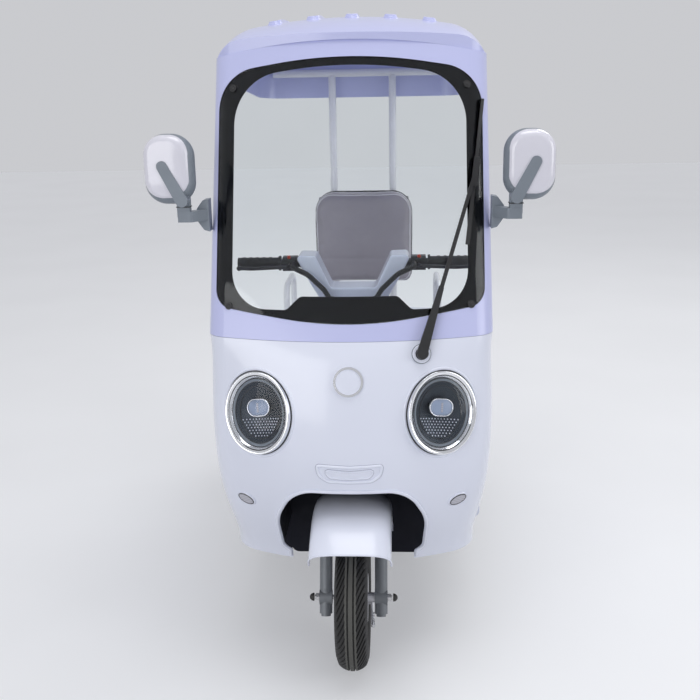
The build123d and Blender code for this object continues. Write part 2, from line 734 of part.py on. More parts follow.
def rim(bore, hub_half, disc_x, windows, drum_from, drum_to):
    """Pressed rim: flanged well, dished disc with round windows, hub tube and a brake drum on one side."""
    seat = BEAD_RADIUS - SEAT_GAP
    flange = RIM_WIDTH / 2
    well = seat - RIM_WELL_DEPTH
    section = [
        (-flange - 3, seat + 9), (-flange, seat + 9), (-flange, seat), (-flange + 12, seat), (-flange + 19, well),
        (flange - 19, well), (flange - 12, seat), (flange, seat), (flange, seat + 9), (flange + 3, seat + 9),
        (flange + 3, seat - RIM_WALL), (flange - 10, seat - RIM_WALL), (flange - 17, well - RIM_WALL),
        (-flange + 17, well - RIM_WALL), (-flange + 10, seat - RIM_WALL), (-flange - 3, seat - RIM_WALL),
    ]
    barrel = revolve(make_face(Polyline(*section, close=True)), axis=Axis.X)
    dish = [
        (disc_x - 2, HUB_RADIUS), (disc_x + 2, HUB_RADIUS), (disc_x + 2, 46), (disc_x - 8, 60),
        (disc_x - 8, well - 2), (disc_x - 12, well - 2), (disc_x - 12, 58), (disc_x - 2, 44),
    ]
    disc = revolve(make_face(Polyline(*dish, close=True)), axis=Axis.X)
    for index in range(windows):
        window = Rot(0, 90, 0) * Cylinder(9, 30)
        disc -= Rot(360 / windows * index, 0, 0) * Pos(disc_x - 10, 0, 73) * window
    shape = barrel + disc
    hub = Rot(0, 90, 0) * Cylinder(HUB_RADIUS + 1, 2 * hub_half)
    drum = Pos((drum_from + drum_to) / 2, 0, 0) * Rot(0, 90, 0) * Cylinder(DRUM_RADIUS, drum_to - drum_from)
    cavity_from = drum_from + 5
    cavity = Cylinder(DRUM_RADIUS - 5, drum_to - cavity_from + 2) - Cylinder(HUB_RADIUS + 1, drum_to - cavity_from + 2)
    drum -= Pos((cavity_from + drum_to + 2) / 2, 0, 0) * Rot(0, 90, 0) * cavity
    shape = shape + hub + drum
    return shape - Rot(0, 90, 0) * Cylinder(bore, 4 * RIM_WIDTH)


def brake_plate():
    """Front brake's backing plate with its cam arm, carried on the axle beside the right leg."""
    x_from = FRONT_HUB_HALF + 0.5
    x_to = LEG_X - SLIDER_RADIUS - SEAT_GAP
    plate = Pos(x_from + 2, 0, 0) * Rot(0, 90, 0) * Cylinder(DRUM_RADIUS - 1, 4)
    spacer = Pos((x_from + x_to) / 2, 0, 0) * Rot(0, 90, 0) * Cylinder(13, x_to - x_from)
    cam = Pos(x_from + 8, 34, -34) * Rot(0, 90, 0) * Cylinder(6, 16)
    arm = Pos(x_from + 13, 34, -64) * Box(5, 12, 72)
    shape = plate + spacer + cam + arm - Rot(0, 90, 0) * Cylinder(AXLE_RADIUS + SEAT_GAP, 300)
    return Pos(*AXLE_CENTRE) * shape


# Handlebar and its cover

def bar_path():
    """Handlebar line: level clamp, a rise behind each wing of the cover, then straight out to the grips."""
    clamp = HEAD.from_local_coords(Vector(0, 0, BAR_CLAMP_LEVEL))
    right = [(40, clamp.Y, clamp.Z), (138, BAR_Y, BAR_Z), (BAR_HALF_WIDTH - SEAT_GAP, BAR_Y, BAR_Z)]
    left = [(-x, y, z) for x, y, z in reversed(right)]
    return left + right


def handlebar():
    bar = tube_along(bar_path(), [44, 44, 44, 44], BAR_RADIUS)
    clamp = on_head(0, 0, BAR_CLAMP_LEVEL) * Rot(0, 90, 0) * Cylinder(BAR_RADIUS + 7, 46)
    clamp += on_head(0, 0, BAR_CLAMP_LEVEL - 22) * Cylinder(STEM_RADIUS + 6, 26)
    stem_space = on_head(0, 0, BAR_CLAMP_LEVEL - 62) * Cylinder(STEM_RADIUS + SEAT_GAP, 82.6 + 2 * SEAT_GAP)
    return bar + (clamp - stem_space)


def grips():
    """Ribbed sleeves with an end flange over the bar's ends."""
    sleeve = Cylinder(GRIP_RADIUS, GRIP_LENGTH) + Pos(0, 0, -GRIP_LENGTH / 2 + 3) * Cylinder(GRIP_RADIUS + 4, 6)
    for index in range(5):
        sleeve += Pos(0, 0, -30 + 18 * index) * Cylinder(GRIP_RADIUS + 1.2, 7)
    sleeve -= Pos(0, 0, -6) * Cylinder(BAR_RADIUS + SEAT_GAP, GRIP_LENGTH)
    place = Pos(BAR_HALF_WIDTH - GRIP_LENGTH / 2 + 6, BAR_Y, BAR_Z) * Rot(0, 90, 0)
    return Compound(children=[part.solid() for part in both_sides(place * sleeve)])


def switch_boxes():
    box = fillet(Box(40, 46, 38).edges().filter_by(Axis.X), 10)
    button = Pos(6, 24, 6) * Rot(90, 0, 0) * Cylinder(5, 8)
    place = Pos(SWITCH_X, BAR_Y - 2, BAR_Z)
    bar_room = x_bar((SWITCH_X - 45, SWITCH_X + 45), BAR_Y, BAR_Z, BAR_RADIUS + SEAT_GAP)
    shape = place * (box + button) - bar_room
    return Compound(children=[part.solid() for part in both_sides(shape)])


def brake_levers():
    box_front = BAR_Y - 25
    points = [
        (SWITCH_X, box_front - SEAT_GAP, BAR_Z - 2),
        (SWITCH_X, box_front - 21, BAR_Z - 2),
        (SWITCH_X + 100, box_front - 23, BAR_Z - 6),
        (SWITCH_X + 136, box_front - 15, BAR_Z - 6),
    ]
    lever = tube_along(points, [14, 60], 5) + Pos(*points[-1]) * Sphere(7)
    return Compound(children=[part.solid() for part in both_sides(lever)])


COVER_FOOT_Z = 896
COVER_FRONT = 34
COVER_REAR = 52


def handlebar_cowl():
    """White cover over the clamp: two wings rise outwards from a centre block that takes the hoses."""
    clamp = HEAD.from_local_coords(Vector(0, 0, BAR_CLAMP_LEVEL))
    wing = outline(
        mirrored(
            [
                (60, 948, 12),
                (100, 1034, 10),
                (155, 1036, 10),
                (118, 965, 16),
                (78, COVER_FOOT_Z, 14),
            ]
        )
    )
    body = front_prism(wing, clamp.Y - COVER_FRONT, clamp.Y + COVER_REAR)
    body = fillet(body.faces().sort_by(Axis.Y)[0].edges(), 6)
    bar_room = tube_along(bar_path(), [44, 44, 44, 44], BAR_RADIUS + SEAT_GAP)
    clamp_room = on_head(0, 0, BAR_CLAMP_LEVEL - 10) * Cylinder(STEM_RADIUS + 6.4, 60)
    clamp_room += on_head(0, 0, BAR_CLAMP_LEVEL) * Rot(0, 90, 0) * Cylinder(BAR_RADIUS + 7.4, 48)
    stem_room = on_head(0, 0, BAR_CLAMP_LEVEL - 80) * Cylinder(STEM_RADIUS + SEAT_GAP, 160)
    return body - bar_room - clamp_room - stem_room


def instrument():
    """Small display on the rear of the cover, facing the rider."""
    clamp = HEAD.from_local_coords(Vector(0, 0, BAR_CLAMP_LEVEL))
    body = fillet(Box(104, 16, 42).edges().filter_by(Axis.Y), 10)
    return Pos(0, clamp.Y + COVER_REAR + SEAT_GAP + 8, COVER_FOOT_Z + 27) * body


HOSE_RADIUS = 7
HOSE_ROUTE = [
    (162, 324.7, 1004), (162, 282, 1004), (118, 250, 990), (76, 246, 950), (56, 242, 918), (56, 276.6, 918),
]


def control_hoses():
    """Corrugated cable sleeves from the switch boxes into the cover's centre block."""
    hose = tube_along(HOSE_ROUTE, [20, 34, 34, 14], HOSE_RADIUS)
    return Compound(children=[part.solid() for part in both_sides(hose)])


# Mirrors and wiper

MIRROR_REAR_Y = MIRROR_Y + MIRROR_DEPTH / 2
MIRROR_CORNER = 54


def mirror_face(inset):
    """Front-view outline of the mirror: tall, with very round corners."""
    return RectangleRounded(
        2 * (MIRROR_HALF_WIDTH - inset), 2 * (MIRROR_HALF_HEIGHT - inset), MIRROR_CORNER - inset
    )


def mirror_plane(y):
    """Upright plane on the mirror's middle at a depth, facing forward."""
    return Plane(origin=(MIRROR_X, y, MIRROR_Z), x_dir=(1, 0, 0), z_dir=(0, -1, 0))


def mirror_arms():
    """Flared bracket on the pillar, a flat arm, a square elbow and the tongue that holds the housing."""
    side_x = BODY_HALF_WIDTH - 6
    level = MIRROR_ARM_Z
    flare = outline(
        [
            (side_x, level - 42, 0), (side_x + 14, level - 38, 6), (side_x + 30, level - 15, 6),
            (side_x + 30, level + 15, 6), (side_x + 14, level + 36, 6), (side_x, level + 38, 0),
        ]
    )
    shape = front_prism(flare, 136, 172)
    elbow_in = MIRROR_STEM_X - 15
    elbow_out = MIRROR_STEM_X + 16
    arm = outline(
        [
            (side_x, 140, 0), (elbow_in - 4, MIRROR_REAR_Y - 22, 8), (elbow_out, MIRROR_REAR_Y - 22, 4),
            (elbow_out, MIRROR_REAR_Y + 2, 4), (elbow_in + 6, MIRROR_REAR_Y + 2, 8), (side_x, 168, 0),
        ]
    )
    shape += plan_prism(arm, level - 13, level + 13)
    shape += block(
        (elbow_in, elbow_out), (MIRROR_REAR_Y - 21, MIRROR_REAR_Y + 1), (level, MIRROR_Z - MIRROR_HALF_HEIGHT + 24)
    )
    tongue_top = (MIRROR_X + 12, MIRROR_Z + 9)
    tongue_foot = (MIRROR_STEM_X, MIRROR_Z - MIRROR_HALF_HEIGHT + 10)
    tongue = make_hull((Pos(*tongue_top) * Circle(13)).edges() + (Pos(*tongue_foot) * Circle(15)).edges())
    shape += front_prism(tongue, MIRROR_REAR_Y - MIRROR_DEPTH - 5, MIRROR_REAR_Y - 8)
    shape -= mirror_body(SEAT_GAP)
    shape -= lofted(SURROUND, facing_front, SCREEN_BACK, -SEAT_GAP, ruled=True)
    return Compound(children=[max(part.solids(), key=lambda solid: solid.volume) for part in both_sides(shape)])


def mirror_body(grow):
    """Housing: a rounded back cap, flat at the rear where the glass sits."""
    rear = mirror_plane(MIRROR_REAR_Y)
    return loft(
        [
            rear * mirror_face(-grow),
            rear * Pos(0, 0, MIRROR_DEPTH * 0.55) * mirror_face(3 - grow),
            rear * Pos(0, 0, MIRROR_DEPTH * 0.85) * mirror_face(13 - grow),
            rear * Pos(0, 0, MIRROR_DEPTH + grow) * mirror_face(30 - grow),
        ],
        ruled=True,
    )


def mirror_housings():
    recess = mirror_plane(MIRROR_REAR_Y) * extrude(mirror_face(5), amount=4)
    shape = mirror_body(0) - recess
    return Compound(children=[part.solid() for part in both_sides(shape)])


def mirror_glasses():
    pane = mirror_plane(MIRROR_REAR_Y - 1) * extrude(mirror_face(5 + SEAT_GAP), amount=2.7)
    return Compound(children=[part.solid() for part in both_sides(pane)])


WIPER_PIVOT = (175, 850)
WIPER_TIP = (311, 1262)
WIPER_KNEE = (224, 1000)
BLADE_FOOT = (289, 1092)
BLADE_TOP = (332, 1432)


def screen_strip(start, end, half_width, end_half_width, lift_from, lift_to):
    """Tapered strip between two front-view points, laid over the raked front between two heights above it."""
    across = Vector(end[1] - start[1], start[0] - end[0]).normalized()
    low = across * half_width
    high = across * end_half_width
    corners = [
        (start[0] + low.X, start[1] + low.Y), (end[0] + high.X, end[1] + high.Y),
        (end[0] - high.X, end[1] - high.Y), (start[0] - low.X, start[1] - low.Y),
    ]
    rows = [rake_section(SEAM_Z - 80), rake_section(SURROUND_TOP)]
    layer = lofted(rows, facing_front, SCREEN_BACK, -lift_to, ruled=True)
    layer -= lofted(rows, facing_front, SCREEN_BACK + 40, -lift_from, ruled=True)
    return layer & front_prism(make_face(Polyline(*corners, close=True)), -200, SCREEN_BACK - 60)


def wiper():
    """Stepped pivot boss on the cowl, a thick cover over the arm's foot, the thin arm and the parked blade."""
    shape = screen_strip(WIPER_PIVOT, WIPER_TIP, 5, 4.5, 9, 16)
    shape += screen_strip(WIPER_PIVOT, WIPER_KNEE, 13, 6, 7, 20)
    shape += screen_strip(BLADE_FOOT, BLADE_TOP, 5, 4, 0.6, 10)
    shape += screen_strip((WIPER_TIP[0] - 4, WIPER_TIP[1] - 34), (WIPER_TIP[0] + 4, WIPER_TIP[1] + 34), 8, 7, 4, 17)
    x, z = WIPER_PIVOT
    turn = x / SCREEN_NOSE_RADIUS
    pivot = Plane(origin=(x, SCREEN_FOOT_Y, z), x_dir=(1, 0, 0), z_dir=(turn, -0.93, 0.34))
    shape += (pivot * Cylinder(14, 90)) & cowl_layer(21, SEAT_GAP)
    shape += (pivot * Cylinder(22, 90)) & cowl_layer(2.5, SEAT_GAP)
    return shape - lofted(COWL, facing_front, COWL_REAR_Y, -SEAT_GAP)


# Headlamps, marker lamps

def headlamp_bezels():
    ring = lamp_prism(-1, -24, 7) - lamp_prism(9, -25, 12)
    return Compound(children=[part.solid() for part in both_sides(ring)])


def headlamp_bowls():
    """Oval reflector bowls, each with its projector capsule on a stalk from the back."""
    place = lamp_place(-24 - SEAT_GAP)
    outer = loft([
        place * Ellipse(LAMP_HALF_WIDTH - 6, LAMP_HALF_HEIGHT - 6),
        place * Pos(0, 0, -42) * Ellipse(LAMP_HALF_WIDTH - 30, LAMP_HALF_HEIGHT - 34),
    ], ruled=True)
    inner = loft([
        place * Pos(0, 0, 0.5) * Ellipse(LAMP_HALF_WIDTH - 9, LAMP_HALF_HEIGHT - 9),
        place * Pos(0, 0, -39) * Ellipse(LAMP_HALF_WIDTH - 33, LAMP_HALF_HEIGHT - 37),
    ], ruled=True)
    capsule = place * Pos(0, 4, -40) * extrude(SlotOverall(64, 44), amount=26)
    shape = (outer - inner) + capsule
    return Compound(children=[part.solid() for part in both_sides(shape)])


def headlamp_lenses():
    """Shallow domed oval covers inside the rims."""
    sphere_radius = 420
    place = lamp_place(3 - sphere_radius)
    dome = place * (Sphere(sphere_radius) - Sphere(sphere_radius - 3))
    pane = dome & lamp_prism(9 + SEAT_GAP, -30, 30)
    return Compound(children=[part.solid() for part in both_sides(pane)])


def marker_lamps():
    """Small slanted ovals set on the cowl below the headlamps."""
    place = Plane(origin=(269, -12, 466), x_dir=(0.9, 0.3, 0.32), z_dir=(0.34, -0.94, -0.05))
    prism = place * Pos(0, 0, -30) * extrude(Ellipse(21, 12), amount=60)
    lamp = cowl_layer(4, SEAT_GAP) & prism
    return Compound(children=[part.solid() for part in both_sides(lamp)])


# Rear body, seats and what stands on it

FLARE_WIDTH = 16
FLARE_HEIGHT = 5
BELT_Z = DECK_Z - 62
BELT_DEPTH = 1.5
PAD_X = RACK_SPACING_X + 60
PAD_Y = RACK_SPACING_Y + 60


def rear_body():
    """Open-bottomed shell with a flat deck, a belt groove, a flared lip at each wheel and a raised luggage pad."""
    front = -TUB_FRONT_Y
    shell = lofted(TUB, facing_rear, front)
    wheel = Pos(*REAR_AXLE) * Rot(0, 90, 0)
    flare = wheel * Cylinder(REAR_ARCH_RADIUS + FLARE_WIDTH, 1000)
    flare &= lofted(TUB, facing_rear, -WHEELBASE + REAR_ARCH_RADIUS + 60, -FLARE_HEIGHT)
    flare &= block((-400, 400), (TUB_FRONT_Y, TUB_REAR_Y), (TUB_FOOT_Z, DECK_Z - 60))
    shell += flare
    belt = block((-400, 400), (TUB_FRONT_Y - 5, REAR_END), (BELT_Z - 2, BELT_Z + 2))
    shell -= belt - lofted(TUB, facing_rear, front - 10, BELT_DEPTH)
    inner_rows = TUB[:-1] + [TUB[-1]._replace(level=DECK_Z - SHELL_WALL)]
    shell -= lofted(inner_rows, facing_rear, front - SHELL_WALL, SHELL_WALL)
    arch = wheel * Cylinder(REAR_ARCH_RADIUS, 1000)
    arch -= block((-LINER_INNER_X, LINER_INNER_X), (0, 2000), (0, 700))
    shell -= arch
    shell += Pos(0, RACK_Y) * plan_prism(RectangleRounded(PAD_X, PAD_Y, 24), DECK_Z - 1, DECK_Z + RACK_PAD_HEIGHT)
    store = block(
        (-STORE_HALF_WIDTH - SEAT_GAP, STORE_HALF_WIDTH + SEAT_GAP),
        (STORE_FRONT_Y - SEAT_GAP, STORE_REAR_Y + SEAT_GAP),
        (DECK_Z - 20, DECK_Z + 20),
    )
    shell -= store
    for x in (-RAIL_X, RAIL_X):
        rail_half = RAIL_WIDTH / 2 + 3
        rail_top = FLOOR_RAIL_Z + RAIL_HEIGHT / 2 + 12
        shell -= block((x - rail_half, x + rail_half), (TUB_FRONT_Y - 5, TUB_FRONT_Y + 20), (TUB_FOOT_Z - 5, rail_top))
    for x in (-RACK_SPACING_X / 2, RACK_SPACING_X / 2):
        for y in (RACK_Y - RACK_SPACING_Y / 2, RACK_Y + RACK_SPACING_Y / 2):
            shell -= Pos(x, y, DECK_Z) * Cylinder(RACK_HOLE_RADIUS, 40)
    return shell


def rear_arch_liners():
    """Half-round inner guards behind each wheel opening, closed on their inner side."""
    skin_x = BODY_HALF_WIDTH - SHELL_WALL - 1
    length = skin_x - LINER_INNER_X
    outer = Cylinder(REAR_ARCH_RADIUS - SEAT_GAP, length)
    inner = Pos(0, 0, 3) * Cylinder(REAR_ARCH_RADIUS - SEAT_GAP - 3, length)
    cup = Pos(LINER_INNER_X + length / 2, WHEELBASE, TYRE_RADIUS) * Rot(0, 90, 0) * (outer - inner)
    cup &= lofted(TUB, facing_rear, -TUB_FRONT_Y, SHELL_WALL + SEAT_GAP)
    cup -= Pos(LINER_INNER_X, WHEELBASE, TYRE_RADIUS) * Rot(0, 90, 0) * Cylinder(96, 30)
    return Compound(children=[part.solid() for part in both_sides(cup)])


def store_tub():
    """Open storage tub that hangs by its flange in the deck, under the saddle."""
    outer = block(
        (-STORE_HALF_WIDTH, STORE_HALF_WIDTH), (STORE_FRONT_Y, STORE_REAR_Y), (DECK_Z - STORE_DEPTH, DECK_Z + 2)
    )
    flange = block(
        (-STORE_HALF_WIDTH - 9, STORE_HALF_WIDTH + 9),
        (STORE_FRONT_Y - 9, STORE_REAR_Y + 9),
        (DECK_Z + SEAT_GAP, DECK_Z + 3),
    )
    inner = block(
        (-STORE_HALF_WIDTH + 3, STORE_HALF_WIDTH - 3),
        (STORE_FRONT_Y + 3, STORE_REAR_Y - 3),
        (DECK_Z - STORE_DEPTH + 3, DECK_Z + 10),
    )
    outer = fillet(outer.edges().filter_by(Axis.Z), 20)
    inner = fillet(inner.edges().filter_by(Axis.Z), 17)
    return outer + flange - inner


HINGE_Y = TUB_FRONT_Y - HINGE_KNUCKLE_RADIUS - 3
HINGE_Z = DECK_Z + 4
HINGE_EARS = [(50, 60), (92, 102)]
HINGE_KNUCKLE = (61, 91)


def x_bar(x, y, z, radius):
    """Round bar along X between two places across."""
    return Pos((x[0] + x[1]) / 2, y, z) * Rot(0, 90, 0) * Cylinder(radius, x[1] - x[0])


def saddle_hinge():
    """Plate on the rear body's front wall, with two ears and the hinge pin on each side."""
    parts = block((44, 108), (TUB_FRONT_Y - 3 - SEAT_GAP, TUB_FRONT_Y - SEAT_GAP), (DECK_Z - 50, DECK_Z - 6))
    for ear in HINGE_EARS:
        parts += block(ear, (HINGE_Y, TUB_FRONT_Y - 2), (DECK_Z - 26, HINGE_Z))
        parts += x_bar(ear, HINGE_Y, HINGE_Z, HINGE_KNUCKLE_RADIUS)
    parts += x_bar((HINGE_EARS[0][0], HINGE_EARS[1][1]), HINGE_Y, HINGE_Z, HINGE_PIN_RADIUS)
    return Compound(children=[part.solid() for part in both_sides(parts)])


PAN_FOOT = DECK_Z + 4
PAN_TOP = PAN_FOOT + SEAT_PAN_THICKNESS


def saddle_pan():
    """Moulded pan under the saddle: a ribbed tray with two hinge knuckles at its front."""
    plan = RectangleRounded(2 * SADDLE_HALF_WIDTH, SADDLE_REAR_Y - SADDLE_FRONT_Y, 30)
    middle_y = (SADDLE_FRONT_Y + SADDLE_REAR_Y) / 2
    tray = Pos(0, middle_y, 0) * plan_prism(plan, PAN_FOOT, PAN_TOP)
    hollow = RectangleRounded(2 * SADDLE_HALF_WIDTH - 12, SADDLE_REAR_Y - SADDLE_FRONT_Y - 12, 24)
    tray -= Pos(0, middle_y, 0) * plan_prism(hollow, PAN_FOOT - 1, PAN_TOP - 4)
    for x in (-90, -30, 30, 90):
        tray += block((x - 2, x + 2), (SADDLE_FRONT_Y + 3, SADDLE_REAR_Y - 3), (PAN_FOOT, PAN_TOP - 3))
    leaf = block(HINGE_KNUCKLE, (HINGE_Y, SADDLE_FRONT_Y + 12), (HINGE_Z + 1, PAN_TOP))
    knuckle = x_bar(HINGE_KNUCKLE, HINGE_Y, HINGE_Z, HINGE_KNUCKLE_RADIUS)
    hinge = leaf + knuckle
    for side in both_sides(hinge):
        tray += side
    for side in both_sides(x_bar((40, 110), HINGE_Y, HINGE_Z, HINGE_PIN_RADIUS + RUNNING_FIT)):
        tray -= side
    return tray


def cushion(half_width, y_from, y_to, z_from, z_to, corner):
    """Plain closed seat cushion with rounded plan corners and a softened top edge."""
    plan = RectangleRounded(2 * half_width, y_to - y_from, corner)
    body = Pos(0, (y_from + y_to) / 2, 0) * plan_prism(plan, z_from, z_to)
    return fillet(body.faces().sort_by(Axis.Z)[-1].edges(), 18)


def saddle_cushion():
    return cushion(
        SADDLE_HALF_WIDTH - 1, SADDLE_FRONT_Y + 1, SADDLE_REAR_Y - 1, PAN_TOP + SEAT_GAP, PAN_TOP + CUSHION_HEIGHT, 45
    )


def bench_cushion():
    return cushion(
        BENCH_HALF_WIDTH, BENCH_FRONT_Y, BENCH_REAR_Y, DECK_Z + SEAT_GAP, PAN_TOP + CUSHION_HEIGHT, 35
    )


PAD_REAR_Y = POST_Y - POST_RADIUS - SEAT_GAP - 10


def backrest_outline(inset):
    half = BACKREST_HALF_WIDTH - inset
    return outline(
        [
            (-half, BACKREST_FOOT + inset, 30), (half, BACKREST_FOOT + inset, 30),
            (half, BACKREST_TOP - inset, 70), (-half, BACKREST_TOP - inset, 70),
        ]
    )


def backrest_pad():
    body = front_prism(backrest_outline(0), PAD_REAR_Y - BACKREST_DEPTH, PAD_REAR_Y - SEAT_GAP)
    return fillet(body.faces().sort_by(Axis.Y)[0].edges(), 16)


def backrest_board():
    """Stiff board behind the pad, with a clamp half round each post."""
    board = front_prism(backrest_outline(8), PAD_REAR_Y, PAD_REAR_Y + 8)
    for x in (-POST_X, POST_X):
        for z in (BACKREST_FOOT + 60, BACKREST_TOP - 70):
            clamp = block((x - 22, x + 22), (PAD_REAR_Y + 6, POST_Y), (z - 15, z + 15))
            board += clamp
        board -= Pos(x, POST_Y, 1000) * Cylinder(POST_RADIUS + SEAT_GAP, 900)
    return board


def roof_posts():
    """Two posts on foot plates, up to the crossbar."""
    posts = []
    for x in (-POST_X, POST_X):
        top = CROSSBAR_Z - POST_RADIUS + 3
        post = Pos(x, POST_Y, (DECK_Z + top) / 2) * Cylinder(POST_RADIUS, top - DECK_Z - SEAT_GAP)
        post += block((x - 28, x + 28), (POST_Y - 28, POST_Y + 28), (DECK_Z + SEAT_GAP, DECK_Z + 5))
        post -= Pos(0, POST_Y, CROSSBAR_Z) * Rot(0, 90, 0) * Cylinder(POST_RADIUS + SEAT_GAP, 900)
        posts.append(post)
    return Compound(children=[post.solid() for post in posts])


def roof_crossbar():
    """Bar under the roof's rear, with uprights that carry the crown."""
    end = ROOF_HALF_WIDTH - ROOF_WALL - 45
    bar = x_bar((-end, end), POST_Y, CROSSBAR_Z, POST_RADIUS)
    uprights = block((-end + 12, -end + 42), (POST_Y - 10, POST_Y + 10), (CROSSBAR_Z, ROOF_TOP))
    uprights += block((end - 42, end - 12), (POST_Y - 10, POST_Y + 10), (CROSSBAR_Z, ROOF_TOP))
    room = lofted(ROOF, facing_up, -ROOF_SKIRT_REAR_Z, ROOF_WALL + SEAT_GAP)
    return bar + (uprights & room)


def armrest_loops():
    """Inverted U of tube on each side of the bench, with foot plates on the deck."""
    x = BENCH_HALF_WIDTH + 42
    front = BENCH_FRONT_Y + 14
    rear = BENCH_REAR_Y + 52
    top = DECK_Z + 215
    foot = DECK_Z + SEAT_GAP
    loop = tube_along([(x, front, foot), (x, front, top), (x, rear, top), (x, rear, foot)], [50, 50], 10)
    for y in (front, rear):
        loop += block((x - 20, x + 20), (y - 20, y + 20), (foot, foot + 4))
    return Compound(children=[part.solid() for part in both_sides(loop)])


# Roof

ROOF_REAR_CORNER = 85


def roof_plan(inset):
    """Plan of the roof: the front follows the windscreen, the rear corners are round."""
    front = dee(
        ROOF_HALF_WIDTH - inset, ROOF_FRONT_Y + inset, SCREEN_NOSE_RADIUS - inset, SCREEN_CORNER_RADIUS - inset, 760
    )
    half = ROOF_HALF_WIDTH - inset
    rear = outline(
        [
            (-half, 700, 0), (half, 700, 0),
            (half, ROOF_REAR_Y - inset, ROOF_REAR_CORNER - inset),
            (-half, ROOF_REAR_Y - inset, ROOF_REAR_CORNER - inset),
        ]
    )
    return plan_prism(front, SEAM_Z, ROOF_TOP + 60) + plan_prism(rear, SEAM_Z, ROOF_TOP + 60)


def roof_shell():
    """Hollow crowned roof with a falling side skirt, a rear drop and five raised ribs with sloped sides."""
    foot = -(ROOF_SKIRT_REAR_Z - 60)
    outer = lofted(ROOF, facing_up, foot) & roof_plan(0)
    inner = lofted(ROOF, facing_up, foot + 20, ROOF_WALL) & roof_plan(ROOF_WALL)
    raised = [row._replace(nose=row.nose - RIB_HEIGHT) for row in ROOF]
    crown = lofted(raised, facing_up, -ROOF_SKIRT_REAR_Z)
    shell = outer
    length = RIB_REAR_Y - RIB_FRONT_Y
    for index in range(RIB_COUNT):
        x = (index - (RIB_COUNT - 1) / 2) * RIB_SPACING
        drop = ROOF_CROWN_RADIUS - sqrt(ROOF_CROWN_RADIUS**2 - x**2)
        slot = Rot(0, 0, 90) * SlotOverall(length, 2 * RIB_HALF_WIDTH + 40)
        rib = Pos(x, (RIB_FRONT_Y + RIB_REAR_Y) / 2, ROOF_TOP - 38 - drop) * extrude(slot, amount=60, taper=RIB_TAPER)
        shell += crown & rib
    return shell - inner - seam_solid(0)


# Frame, axle and springs

def chassis_frame():
    """Head tube, spine behind the wheel well, floor rails that rise under the seats, and cross tubes."""
    head_mid = (HEAD_TUBE_FOOT + HEAD_TUBE_TOP) / 2
    frame = on_head(0, 0, head_mid) * Cylinder(HEAD_TUBE_RADIUS, HEAD_TUBE_LENGTH)
    joint = HEAD.from_local_coords(Vector(0, 0, HEAD_TUBE_FOOT + 84))
    spine_y = WELL_REAR_Y + SPINE_RADIUS + 4
    frame += tube_along(
        [(0, joint.Y, joint.Z), (0, spine_y, joint.Z - 16), (0, spine_y, FLOOR_RAIL_Z)], [60], SPINE_RADIUS
    )
    half = RAIL_HEIGHT / 2
    profile = Plane.XZ * RectangleRounded(RAIL_WIDTH, RAIL_HEIGHT, 4)
    rail_front = spine_y - RAIL_WIDTH / 2
    for x in (-RAIL_X, RAIL_X):
        path = FilletPolyline(
            (x, rail_front, FLOOR_RAIL_Z),
            (x, TUB_FRONT_Y + 30, FLOOR_RAIL_Z),
            (x, TUB_FRONT_Y + 130, REAR_RAIL_Z),
            (x, TUB_REAR_Y - 60, REAR_RAIL_Z),
            radius=[60, 60],
        )
        frame += sweep(Pos(x, rail_front, FLOOR_RAIL_Z) * profile, path=path)
    low = (FLOOR_RAIL_Z - 13, FLOOR_RAIL_Z + 13)
    high = (REAR_RAIL_Z - 13, REAR_RAIL_Z + 13)
    floor_cross = [spine_y, TUB_FRONT_Y - 60]
    for y in floor_cross:
        frame += block((-RAIL_X - 120, RAIL_X + 120), (y - 15, y + 15), low)
    for y in (BENCH_FRONT_Y - 16, POST_Y - 60, TUB_REAR_Y - 90):
        frame += block((-RAIL_X - 10, RAIL_X + 10), (y - 15, y + 15), high)
    for x in (-POST_X, POST_X):
        frame += block((x - 15, x + 15), (POST_Y - 75, POST_Y - 45), (REAR_RAIL_Z - 13, DECK_Z - SHELL_WALL - SEAT_GAP))
    return frame - on_head(0, 0, head_mid) * Cylinder(STEM_RADIUS + RUNNING_FIT, HEAD_TUBE_LENGTH + 60)


REAR_HUB_HALF = 34
REAR_WHEEL_X = REAR_TRACK / 2


def rear_axle():
    """Axle tube with the round motor housing in its middle and a stub for each wheel."""
    plate = REAR_WHEEL_X - REAR_HUB_HALF - 6
    shape = x_bar((-plate, plate), 0, 0, AXLE_TUBE_RADIUS)
    shape += x_bar((-52, 66), 0, 0, MOTOR_RADIUS)
    shape += x_bar((-74, 88), 0, 0, MOTOR_RADIUS - 26)
    for side in (-1, 1):
        inner = side * (plate - 4)
        outer = side * plate
        shape += x_bar(sorted((inner, outer)), 0, 0, DRUM_RADIUS - 1)
        stub = (side * (plate - 20), side * (REAR_WHEEL_X + REAR_HUB_HALF + 14))
        shape += x_bar(sorted(stub), 0, 0, AXLE_RADIUS + 2)
        tip = (side * (REAR_WHEEL_X + REAR_HUB_HALF + 2), side * (REAR_WHEEL_X + REAR_HUB_HALF + 12))
        shape += x_bar(sorted(tip), 0, 0, 14)
    return Pos(*REAR_AXLE) * shape


ARM_FRONT_Y = 900


